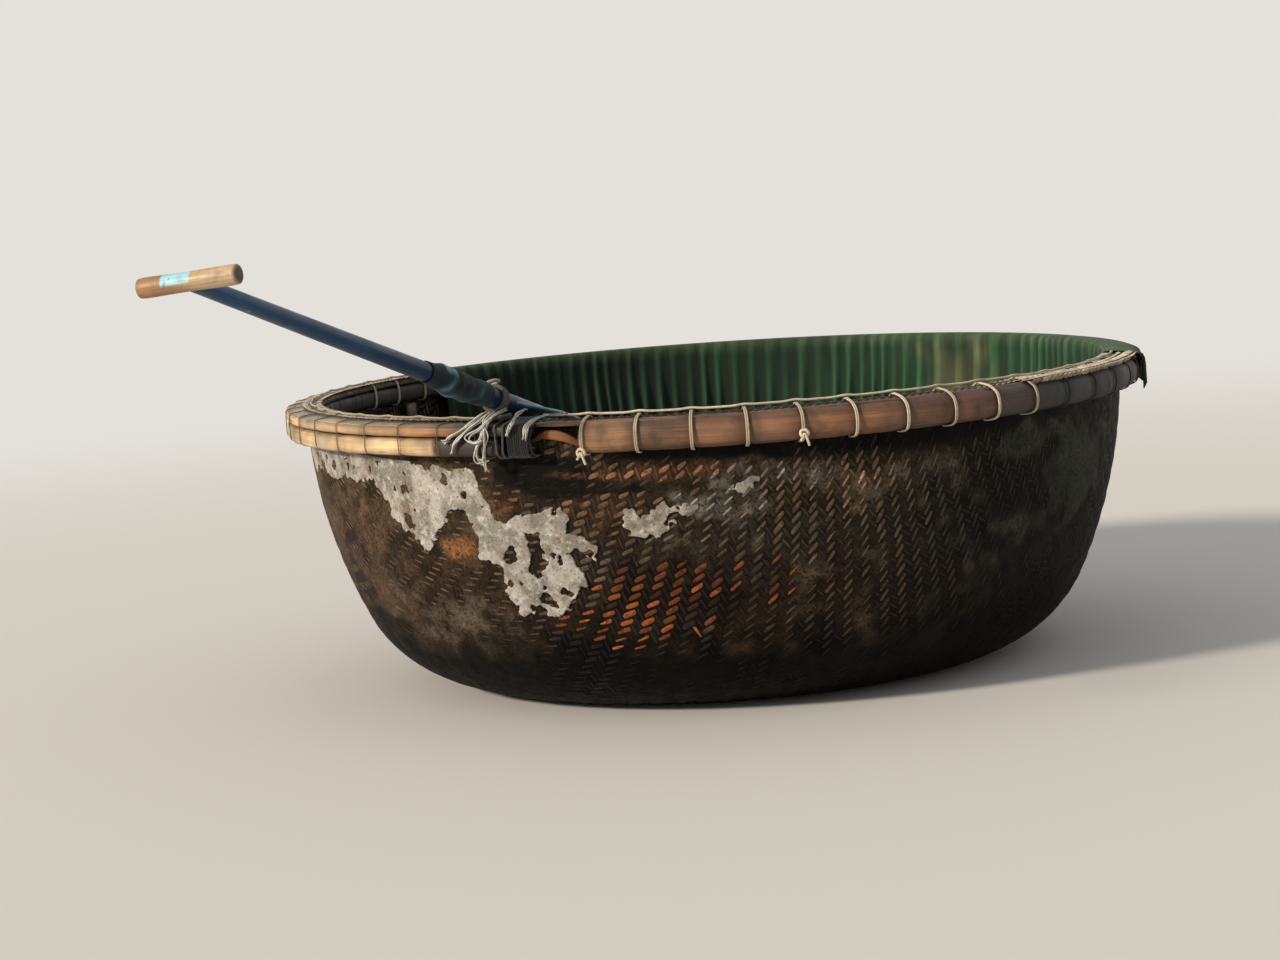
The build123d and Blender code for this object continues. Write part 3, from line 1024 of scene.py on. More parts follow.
@dataclass(frozen=True)
class Scatter:
    """Lays one small shape on many places with a node tree, and keeps the result as a plain mesh.

    Each copy strays by up to the sway, in radians, in its turn about Z.
    """

    name: str
    shape: Draft
    material: Material
    sway: float
    seed: int

    def tree(self, one: Piece) -> Tree:
        """Build the tree, which lays an object with each place's own turn and a stray."""
        tree, given = start_tree(self.name + " laid out", {"Places": "Geometry", "Sway": "Float"})
        shape = add_node(tree, "GeometryNodeObjectInfo", {"Object": one})
        turn = add_node(tree, "GeometryNodeInputNamedAttribute", {"Name": "turn"}, data_type="FLOAT_VECTOR")
        less = add_node(tree, "ShaderNodeMath", {0: given["Sway"], 1: -1.0}, operation="MULTIPLY")
        inputs: Inputs = {2: less.outputs[0], 3: given["Sway"], 8: self.seed}
        stray = add_node(tree, "FunctionNodeRandomValue", inputs)
        about = add_node(tree, "ShaderNodeCombineXYZ", {"Z": stray.outputs[1]})
        inputs = {0: turn.outputs[0], 1: about.outputs[0]}
        whole = add_node(tree, "ShaderNodeVectorMath", inputs, operation="ADD")
        end_tree(tree, given["Places"], shape.outputs["Geometry"], whole.outputs[0], self.material)
        return tree

    def build(self, places: Array, turns: Array, tints: Array) -> Piece:
        """Lay the shape out.

        Args:
            places: Where each copy goes.
            turns: Its turn about X, Y and Z in radians.
            tints: Its linear colour.

        Returns:
            The finished mesh.
        """
        points = bpy.data.meshes.new(self.name + " places")
        points.from_pydata(places.tolist(), [], [])
        turn = points.attributes.new("turn", "FLOAT_VECTOR", "POINT")
        turn.data.foreach_set("vector", turns.astype(np.float32).ravel())
        paint(points, tints)
        one = self.shape.build(self.name + "_one", None, False)
        made = grown(linked(self.name + "_places", points), self.tree(one), self.name, {"Sway": self.sway})
        bpy.data.objects.remove(one)
        return made


def grown(holder: Piece, tree: Tree, name: str, inputs: dict[str, Any]) -> Piece:
    """Run a geometry tree on an object and keep its result as a plain mesh.

    Args:
        holder: The object that carries the tree's points, which is removed.
        tree: The tree, which ends in real geometry with its material set.
        name: The piece's name.
        inputs: Values for the tree's named inputs.

    Returns:
        A new object with the result.
    """
    modifier = holder.modifiers.new("grow", "NODES")
    modifier.node_group = tree
    for item in tree.interface.items_tree:
        if item.in_out == "INPUT" and item.name in inputs:
            modifier[item.identifier] = inputs[item.name]
    graph = bpy.context.evaluated_depsgraph_get()
    mesh = bpy.data.meshes.new_from_object(holder.evaluated_get(graph))
    mesh.name = name
    mesh.shade_smooth()
    bpy.data.objects.remove(holder)
    return linked(name, mesh)


@dataclass(frozen=True)
class TwillMat:
    """A two-over, two-under twill of bamboo strips, pressed into the bowl.

    One set of strips runs at the turn given, in degrees, and a strip's middle stands a crown above its edges.
    """

    bowl: Bowl
    pitch: float = 0.018
    turn: float = -27.0
    crown: float = 0.0042
    seed: int = 7

    def lattice(self) -> tuple[Array, Array]:
        """The middle of every visible float in the flat mat, and whether it belongs to the second set."""
        count = int(self.bowl.reach / self.pitch) + 2
        i, j = np.meshgrid(np.arange(-count, count + 1), np.arange(-count, count + 1))
        i, j = i.ravel(), j.ravel()
        phase = (i + j) % 4
        first, second = phase == 0, phase == 2
        centre = np.concatenate([
            stacked(i[first] + 1.0, j[first] + 0.5),
            stacked(i[second] + 0.5, j[second] + 1.0),
        ]) * self.pitch
        crosses = np.concatenate([np.zeros(first.sum(), bool), np.ones(second.sum(), bool)])
        inside = np.hypot(centre[:, 0], centre[:, 1]) < self.bowl.reach - 1.3 * self.pitch
        return centre[inside], crosses[inside]

    def strip(self) -> Draft:
        """One float: a domed patch of strip, two pitches long."""
        along = np.array([-1.0, -0.72, 0.0, 0.72, 1.0])
        across = np.array([-1.0, 0.0, 1.0])
        x, y = np.meshgrid(along, across, indexing="ij")
        rise = self.crown * ((1 - 0.95 * y**2) * (1 - 0.6 * x**6) - 1)
        points = stacked(x * self.pitch * 1.06, y * self.pitch * 0.47 * (1 - 0.12 * x**2), rise)
        grain = stacked(x * self.pitch, y * self.pitch / 2).reshape(-1, 2)
        return Draft(points.reshape(-1, 3), [face[::-1] for face in grid_faces(5, 3).tolist()], grain)

    def build(self, name: str, material: Material, colours: Callable[[Array, Array, int], Array],
              inside: bool) -> Piece:
        """Make the outer or inner face of the woven wall.

        Args:
            name: The piece's name.
            material: The strips' finish.
            colours: Gives the colours of whole strips from their places, their set and a seed.
            inside: Whether it is the inner face.

        Returns:
            The finished mesh.
        """
        centre, crosses = self.lattice()
        rng = np.random.default_rng(self.seed)
        turn = math.radians(self.turn)
        spin = np.array([[math.cos(turn), math.sin(turn)], [-math.sin(turn), math.cos(turn)]])
        value = np.clip(rng.normal(1.0, 0.2, len(centre)), 0.5, 1.6)
        tint = colours(self.bowl.place(centre @ spin, 0.0), crosses, self.seed) * value[:, None]
        sunk = rng.uniform(0, 0.0007, len(centre)) + np.where(crosses, 0.0014, 0.0003)
        places = np.concatenate([centre, -sunk[:, None]], axis=1)
        turns = stacked(0.0, 0.0, crosses * math.pi / 2)
        made = Scatter(name, self.strip(), material, 0.05, self.seed).build(places, turns, tint)
        flat = coordinates(made.data)
        depth = -flat[:, 2]
        put(made.data, self.bowl.place(flat[:, :2] @ spin, self.bowl.wall - depth if inside else depth))
        if inside:
            made.data.flip_normals()
        return made


@dataclass(frozen=True)
class Hull:
    """The woven bowl: strips outside and inside, and the tar in which they lie, a skin deep at its lowest."""

    bowl: Bowl
    skin: float = 0.0038
    weathering: Weathering = Weathering()
    inner: str = "#54453A"
    inner_dark: str = "#1E1814"

    def inside_colours(self, points: Array, crosses: Array | float = 0.0, seed: int = 0) -> Array:
        """Linear colours for points on the bowl's inside, where the second set of strips is dirtier."""
        share = smooth(-0.5, 0.6, cloud(points, 0.12, 31 + seed)) * (1 - 0.35 * crosses)
        base = mixed(self.inner_dark, self.inner, share)
        return mixed(base, self.inner_dark, 0.6 * smooth(0.2, 0.0, points[:, 2]))

    def skin_draft(self) -> Draft:
        """The closed shell that the strips lie in, raised outside where tar floods them."""
        floor_r, reach = self.bowl.floor_r, self.bowl.reach
        outer = np.concatenate([np.linspace(0.02, floor_r, 8), np.linspace(floor_r, reach, 126)[1:]])
        inner = np.concatenate([np.linspace(0.02, floor_r, 4), np.linspace(floor_r, reach, 18)[1:]])[::-1]
        azimuths = np.concatenate([np.arange(195, 345, 0.42), np.arange(345, 555, 1.05)])
        columns = []
        for reaches in (outer, inner):
            turn, far = np.meshgrid(np.radians(azimuths), reaches, indexing="ij")
            columns.append(stacked(far * np.cos(turn), far * np.sin(turn)))
        flat = np.concatenate(columns, axis=1).reshape(-1, 2)
        outside = np.tile(np.arange(len(outer) + len(inner)) < len(outer), len(azimuths))
        spots = self.bowl.place(flat, 0.0)
        fill = self.weathering.flooding(spots) * (1 - smooth(0.04, 0.0, spots[:, 2]) * 0.12)
        inset = np.where(outside, self.skin * (1 - fill), self.bowl.wall - self.skin)
        # Painted shade: the tar is darker where it lies deep between the strips.
        depth = (0.28 + 0.72 * smooth(0.40, 0.85, fill))[:, None]
        inner_tint = self.inside_colours(spots) * 0.6
        tint = np.where(outside[:, None], self.weathering.colours(spots) * depth, inner_tint)
        rows, count = len(azimuths), len(outer) + len(inner)
        faces = grid_faces(rows, count, True, False).tolist()
        faces.append([n * count for n in range(rows)])
        faces.append([(n + 1) * count - 1 for n in range(rows)][::-1])
        return Draft(self.bowl.place(flat, inset), faces, None, tint)

    def build(self) -> None:
        """Make and dress the bowl."""
        tar = self.skin_draft().build("hull_tar", TarSkin().material())
        settle(tar, "woven_bamboo", "hull_basket")
        for name, finish, colours, inside in (
            ("hull_weave_outer", "tarred bamboo twill, outside", self.weathering.float_colours, False),
            ("hull_weave_inner", "bamboo twill, inside", self.inside_colours, True),
        ):
            weave = TwillMat(self.bowl).build(name, WovenStrip().material(finish), colours, inside)
            settle(weave, "woven_bamboo")


@dataclass(frozen=True)
class Flake:
    """One patch of coat that is left: its outline as azimuth and height, and how thick and light it is."""

    outline: Outline
    light: str = "#ADA79D"
    dark: str = "#837D73"
    ragged: float = 0.011


@dataclass(frozen=True)
class Coat:
    """Lime coat that has flaked off the weave but for patches, each a thin ragged skin with holes.

    Each hole is given by azimuth, height and half size. The face stands a lift above the strips' crowns, and
    the broken edge goes down by the thickness.
    """

    bowl: Bowl
    flakes: tuple[Flake, ...] = (
        Flake((
            (198, 0.652), (214, 0.656), (223.4, 0.645), (230.7, 0.639), (236.9, 0.627), (240.6, 0.620),
            (242.6, 0.598), (243.0, 0.560), (243.9, 0.517), (245.8, 0.495), (248.8, 0.516), (251.4, 0.521),
            (254.1, 0.536), (255.2, 0.509), (254.2, 0.471), (256.6, 0.459), (258.6, 0.441), (257.8, 0.414),
            (255.8, 0.443), (254.4, 0.427), (255.3, 0.388), (256.5, 0.354), (254.6, 0.326), (253.0, 0.287),
            (250.3, 0.270), (248.3, 0.298), (245.3, 0.275), (243.6, 0.303), (243.5, 0.338), (244.5, 0.372),
            (243.4, 0.394), (241.1, 0.416), (241.0, 0.461), (240.7, 0.494), (240.0, 0.522), (238.7, 0.543),
            (237.2, 0.515), (235.6, 0.492), (233.8, 0.458), (231.8, 0.428), (229.3, 0.460), (227.7, 0.475),
            (225.6, 0.496), (225.4, 0.541), (223.8, 0.568), (222.6, 0.594), (218.9, 0.591), (214.9, 0.598),
            (209.3, 0.585), (203.0, 0.600), (198.0, 0.590),
        )),
        Flake((
            (261.7, 0.483), (262.8, 0.515), (264.3, 0.513), (266.1, 0.528), (268.4, 0.520), (270.3, 0.532),
            (272.0, 0.530), (270.9, 0.512), (268.9, 0.492), (266.6, 0.466), (263.9, 0.462),
        ), "#A39B8E", "#7A7367", 0.014),
        Flake(((276.0, 0.560), (279.1, 0.588), (280.0, 0.580), (277.8, 0.551)), "#A39B8E", "#7A7367", 0.008),
        Flake(((152, 0.655), (186, 0.655), (185, 0.60), (178, 0.52), (170, 0.50), (164, 0.56), (156, 0.55),
               (150, 0.60))),
        Flake(((40, 0.655), (66, 0.655), (68, 0.58), (60, 0.50), (54, 0.53), (47, 0.44), (40, 0.50),
               (37, 0.59)), "#8F877A", "#6B655A", 0.014),
    )
    holes: tuple[tuple[float, float, float], ...] = (
        (237.1, 0.603, 0.016), (229.0, 0.494, 0.010), (239.6, 0.485, 0.009), (239.0, 0.560, 0.010),
        (245.6, 0.420, 0.016), (249.6, 0.467, 0.012), (249.6, 0.439, 0.013), (249.4, 0.395, 0.016),
        (253.0, 0.400, 0.011), (249.8, 0.318, 0.014), (252.6, 0.340, 0.010), (246.5, 0.345, 0.008),
        (216.0, 0.625, 0.009), (208.0, 0.618, 0.008), (229.5, 0.580, 0.012), (171.0, 0.590, 0.025),
        (180.0, 0.600, 0.014), (50.0, 0.570, 0.030), (60.0, 0.610, 0.014), (203.0, 0.632, 0.010),
        (211.0, 0.607, 0.012), (205.5, 0.606, 0.009), (218.0, 0.612, 0.008), (252.3, 0.425, 0.009),
    )
    step: float = 0.0045
    lift: float = 0.0012
    thickness: float = 0.0036
    margin: float = 0.03
    rim_depth: float = 0.063

    def depth_inside(self, azimuths: Array, heights: Array, flake: Flake) -> Array:
        """How far inside a flake's outline each place is, in metres, with holes and a ragged edge."""
        middle = sum(a for a, _ in flake.outline) / len(flake.outline)
        wide = self.bowl.degree
        place = stacked(apart(azimuths, middle) * wide, heights)
        corners = np.array([[apart(a, middle) * wide, h] for a, h in flake.outline], float)
        ahead = np.roll(corners, -1, axis=0) - corners
        away = np.full(len(place), 9.0)
        crossings = np.zeros(len(place), int)
        for corner, side in zip(corners, ahead):
            offset = place - corner
            share = np.clip(offset @ side / (side @ side), 0, 1)
            away = np.minimum(away, np.hypot(*(offset - share[:, None] * side).T))
            spans = (corner[1] > place[:, 1]) != (corner[1] + side[1] > place[:, 1])
            level = side[1] if side[1] else 1e-9
            crossings += spans & (place[:, 0] < corner[0] + (place[:, 1] - corner[1]) * side[0] / level)
        inside = np.where(crossings % 2 == 1, away, -away)
        for azimuth, height, half in self.holes:
            gap = np.hypot(apart(azimuths, azimuth) * wide * 0.93, (heights - height) * 0.8)
            inside = np.minimum(inside, gap - half)
        space = self.bowl.spot(azimuths, heights)
        rough = cloud(space, 0.035, 41, 4) + 0.75 * cloud(space, 0.012, 42, 2)
        edge = inside + flake.ragged * rough
        edge = np.minimum(edge, 0.030 * (0.72 - cloud(space, 0.024, 46, 3)))
        return np.where(heights > 0.64, np.minimum(inside + 0.004, edge + 0.02), edge)

    def corners(self, flake: Flake) -> tuple[Array, Array, Array]:
        """Lay a fine grid over a flake.

        Args:
            flake: The flake.

        Returns:
            The grid's azimuths and heights, and how far inside the flake each of its points is.
        """
        azimuths, heights = np.array(flake.outline, float).T
        wide = self.bowl.degree
        columns = int((np.ptp(azimuths) * wide + 2 * self.margin) / self.step)
        rows = int((np.ptp(heights) + 2 * self.margin) / self.step)
        beside = self.margin / wide
        grid_a = np.linspace(azimuths.min() - beside, azimuths.max() + beside, columns)
        high = min(heights.max() + self.margin, self.bowl.top - self.rim_depth)
        grid_h = np.linspace(heights.min() - self.margin, high, rows)
        mesh_h, mesh_a = np.meshgrid(grid_h, grid_a, indexing="ij")
        depth = self.depth_inside(mesh_a.ravel(), mesh_h.ravel(), flake)
        return grid_a, grid_h, depth.reshape(rows, columns)

    def cut(self, flake: Flake) -> tuple[Array, Array, list[list[int]]]:
        """Cut a flake from its grid, with a vertex wherever its edge crosses a grid line.

        Args:
            flake: The flake.

        Returns:
            Each vertex as azimuth and height, which of them are on the edge, and the faces.
        """
        grid_a, grid_h, value = self.corners(flake)
        # Each vertex's place, by its grid point and 0, or by the grid point before it and its line's way
        spots: dict[tuple[int, int, int], tuple[float, float]] = {}
        faces = []
        for row, column in np.ndindex(len(grid_h) - 1, len(grid_a) - 1):
            ring = ((row, column), (row, column + 1), (row + 1, column + 1), (row + 1, column))
            face = []
            for here, there in zip(ring, ring[1:] + ring[:1]):
                level, other = value[here], value[there]
                if level > 0:
                    face.append((*here, 0))
                    spots.setdefault(face[-1], (grid_a[here[1]], grid_h[here[0]]))
                if (level > 0) != (other > 0):
                    share = level / (level - other)
                    a = grid_a[here[1]] + share * (grid_a[there[1]] - grid_a[here[1]])
                    h = grid_h[here[0]] + share * (grid_h[there[0]] - grid_h[here[0]])
                    face.append((*min(here, there), 1 if here[0] == there[0] else 2))
                    spots.setdefault(face[-1], (a, h))
            if len(face) >= 3:
                faces.append(face)
        number = {key: place for place, key in enumerate(spots)}
        edge = np.array([key[2] > 0 for key in spots])
        return np.array(list(spots.values())), edge, [[number[key] for key in face] for face in faces]

    def patch(self, flake: Flake) -> Draft:
        """Make one patch, with a broken edge down to the weave.

        Args:
            flake: The patch's outline and colours.

        Returns:
            The patch.
        """
        spot, on_edge, faces = self.cut(flake)
        space = self.bowl.spot(spot[:, 0], spot[:, 1])
        wave = 0.0010 * cloud(space, 0.02, 43) + 0.0007 * cloud(space, 0.007, 44)
        top = self.bowl.spot(spot[:, 0], spot[:, 1], -(self.lift + wave))
        low = self.bowl.spot(spot[:, 0], spot[:, 1], self.thickness)
        edges = np.flatnonzero(on_edge)
        skirt = {int(vertex): len(spot) + place for place, vertex in enumerate(edges)}
        walls = [
            [here, skirt[here], skirt[there], there]
            for face in faces
            for here, there in zip(face, face[1:] + face[:1])
            if here in skirt and there in skirt
        ]
        points = np.concatenate([top, low[edges]])
        tint = mixed(flake.dark, flake.light, smooth(-0.5, 0.5, cloud(points, 0.06, 45)))
        return Draft(points, faces + walls, None, tint)

    def build(self) -> None:
        """Make and dress the coat."""
        draft = joined([self.patch(flake) for flake in self.flakes])
        settle(draft.build("hull_coat", LimeCoat().material(), False), "woven_bamboo")


# The rim


@dataclass(frozen=True)
class RimSizes:
    """Where the rim's pieces lie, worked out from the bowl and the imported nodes."""

    bowl: Bowl
    outer_r: float
    inner_r: float
    low: float
    inner_low: float
    cap_top: float
    lath_r: float
    lath_top: float
    cap_out: float
    lashing_count: int = 55
    lashing_start: float = 3.6
    left_start: float = 165.0
    break_start: float = 252.5
    break_end: float = 258.4
    right_start: float = 350.0
    back_start: float = 80.0
    bare: tuple[float, float] = (244.4, 252.2)

    @classmethod
    def measured(cls, bowl: Bowl) -> RimSizes:
        """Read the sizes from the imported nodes."""
        hoop_low, hoop_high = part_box("rim_outer_right")
        lath_low, lath_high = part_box("rim_lath_near")
        cap_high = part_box("rim_cap")[1]
        return cls(
            bowl=bowl,
            outer_r=hoop_high.x,
            inner_r=bowl.rim_r - bowl.wall - 0.028,
            low=hoop_low.z,
            inner_low=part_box("rim_inner_near")[0].z,
            cap_top=cap_high.z,
            lath_r=-lath_low.y,
            lath_top=lath_high.z,
            cap_out=cap_high.x,
        )

    @property
    def lashings(self) -> Array:
        """The azimuths of the cord turns, left out where the oar is tied."""
        every = self.lashing_start + np.arange(self.lashing_count) * 360 / self.lashing_count
        return every[(every < self.bare[0]) | (every > self.bare[1])]

    def bay(self, azimuths: Array) -> Array:
        """Each azimuth on a scale that counts the lashings."""
        return (azimuths - self.lashing_start) / (360 / self.lashing_count)

    def pinch(self, azimuths: Array) -> Array:
        """How tightly the cords hold the hoop at each azimuth, 1 under a cord and 0 between."""
        phase = (self.bay(azimuths) + 0.5) % 1 - 0.5
        return np.exp(-((phase * 360 / self.lashing_count) ** 2))


# From about 309 degrees the front hoop darkens to near black at its right end: painted shade of the sunless
# side.
FRONT_STOPS: Stops = (
    (258.0, "#CC9C6E"), (262.0, "#B98A5F"), (267.0, "#97694A"), (283.0, "#8B6246"), (297.0, "#7C573D"),
    (309.0, "#604333"), (316.0, "#45342A"), (321.0, "#201E1C"), (350.0, "#161819"),
)
# The right hoop starts near black at 350 degrees: painted shade of the sunless side.
RIGHT_STOPS: Stops = ((350.0, "#1A1C1D"), (372.0, "#5E4736"), (440.0, "#7A5540"))
BACK_STOPS: Stops = ((80.0, "#7A5540"), (150.0, "#8A6A4C"), (165.0, "#B49770"))
LOWER_STOPS: Stops = ((165.0, "#C4A983"), (238.3, "#D2B58B"))
# The lower strip's broken end: dark tar, with the painted shadow of the oar and tie over it.
LOWER_END_STOPS: Stops = ((238.6, "#5E4733"), (240.5, "#3E2F22"), (248.0, "#18130E"))
# From about 240 degrees the upper strip darkens to near black: painted shadow of the oar and tie.
UPPER_STOPS: Stops = (
    (165.0, "#D0B48C"), (208.0, "#CDB088"), (224.0, "#B9946A"), (235.5, "#A97F55"), (240.0, "#84593C"),
    (243.0, "#33261C"), (252.5, "#15110D"),
)
# The lath darkens by the tie, 239 to 252 degrees, as painted shadow of the oar and tie, and from 314 degrees
# on as painted shade of the sunless right end.
LATH_STOPS: Stops = (
    (165.0, "#E0D4BE"), (215.0, "#D6C7AC"), (228.0, "#B8A386"), (239.0, "#77644F"), (244.0, "#2C241C"),
    (252.0, "#1A1510"), (257.0, "#A97D59"), (270.0, "#8C6244"), (300.0, "#74503A"), (314.0, "#4C3A2E"),
    (322.0, "#2A2825"), (350.0, "#242422"),
)
# The far lath starts near black at 350 degrees, carrying on the painted shade of the sunless right end.
FAR_LATH_STOPS: Stops = ((350.0, "#242422"), (380.0, "#5E4A3A"), (500.0, "#7A6550"), (525.0, "#AEA18A"))
# The inner hoop is dark, darkest by the tie: painted shade inside the bowl.
INNER_STOPS: Stops = ((165.0, "#3E362C"), (250.0, "#241E18"), (350.0, "#3A3128"), (525.0, "#3E362C"))
CAP_STOPS: Stops = (
    (0.0, "#D0C3AB"), (60.0, "#8E8068"), (150.0, "#B8AD96"), (175.0, "#C9C0AC"), (225.0, "#BDB39D"),
    (236.0, "#8F8571"), (244.0, "#4A4238"), (256.0, "#5E4A38"), (300.0, "#6E5842"), (314.0, "#9A8A70"),
    (321.0, "#CDBFA4"), (340.0, "#DCCEB4"), (360.0, "#D0C3AB"),
)


@dataclass(frozen=True)
class HoopLength:
    """One length of split bamboo round the rim, which stands for the CAD node of its name.

    Args:
        squareness: The power of its rounded outline, 2 for a half round.
        bulge: How far it swells between the cords.
        grime: How much painted shade darkens it beside the cords, where they pinch it.
        broken: How ragged its ends are, in degrees.
    """

    name: str
    start: float
    end: float
    low: float
    high: float
    inner: float
    outer: float
    squareness: float
    culm: Culm
    stops: Stops
    slot: str = "hoop_bamboo"
    bulge: float = 0.0022
    grime: float = 0.45
    broken: float = 0.0
    seed: int = 1

    def draft(self, sizes: RimSizes) -> Draft:
        """Sweep the outline round the rim, swelling between cords and wandering a little."""
        azimuths = np.linspace(self.start, self.end, int((self.end - self.start) / 0.5) + 2)
        angle = np.radians(np.linspace(-90, 90, 15))
        power = 2 / self.squareness
        out = np.concatenate([np.cos(angle) ** power, [-0.04, -0.04]])
        up = np.concatenate([np.sign(angle) * np.abs(np.sin(angle)) ** power, [0.94, -0.94]])
        middle, half = (self.low + self.high) / 2, (self.high - self.low) / 2
        grip, node = sizes.pinch(azimuths), self.joints(azimuths)
        line = on_circle(azimuths, self.outer, middle)
        wander = cloud(line, 0.35, self.seed) * 0.0022
        lift = cloud(line, 0.5, self.seed + 9) * 0.0016
        reach = (self.outer - self.inner) + wander - self.bulge * grip - 0.0008 + node * 0.0022
        tall = half * (1 - 0.05 * grip) + node * 0.0010
        dent = 0.0010 * cloud(line, 0.06, self.seed + 3)
        radius = self.inner + reach[:, None] * out + dent[:, None] * np.maximum(out, 0)
        height = middle + lift[:, None] + tall[:, None] * up
        turns = np.repeat(azimuths[:, None], len(out), axis=1)
        if self.broken:
            fray = np.random.default_rng(self.seed).uniform(0, 1, (2, len(out))) * self.broken
            turns[0] += fray[0]
            turns[-1] -= fray[1]
        rings = on_circle(turns, radius, height)
        tint = by_azimuth(turns.ravel(), self.stops) * self.wear(sizes, azimuths, rings.reshape(-1, 3))
        girth = np.linspace(0, 2 * half * 1.6, len(out))
        return sleeve(rings, np.radians(azimuths) * self.outer, girth, np.clip(tint, 0.004, 1))

    def wear(self, sizes: RimSizes, azimuths: Array, points: Array) -> Array:
        """How much darker, lighter or warmer than its plain colour it is, with painted shade beside the cords
        and on its rounded faces.

        Args:
            sizes: The rim's sizes.
            azimuths: The azimuth of each ring of points.
            points: The points, ring by ring.

        Returns:
            A factor for red, green and blue at each point.
        """
        luck = np.random.default_rng(self.seed + 70).uniform(0.82, 1.14, sizes.lashing_count)
        bay = luck[sizes.bay(azimuths).astype(int) % sizes.lashing_count]
        # Painted shade beside the cords, where they pinch the hoop; the random tone of each bay and the dark
        # joints are its own.
        clean = bay * (1 - self.grime * sizes.pinch(azimuths) - 0.3 * self.joints(azimuths))
        shade = np.repeat(clean, len(points) // len(azimuths))
        shade = shade * (1 + 0.4 * cloud(points, 0.045, self.seed + 21))
        # Painted shade: the hoop's rounded upper and lower faces are darkened.
        rise = (points[:, 2] - (self.low + self.high) / 2) / ((self.high - self.low) / 2)
        shade = shade * (1 - 0.38 * smooth(0.25, 0.8, rise) - 0.25 * smooth(-0.5, -0.95, rise))
        warm = 0.2 * cloud(points, 0.12, self.seed + 20)
        return shade[:, None] * stacked(1 + warm, 1 + 0.4 * warm, 1 - 0.2 * warm)

    def joints(self, azimuths: Array) -> Array:
        """The bamboo's own joints: a low ring about every third of a metre."""
        rng = np.random.default_rng(self.seed + 50)
        places = np.arange(self.start + 4 * rng.uniform(), self.end, 18.5) + rng.uniform(-2, 2)
        return sum((np.exp(-(((azimuths - place) / 0.45) ** 2)) for place in places), np.zeros_like(azimuths))


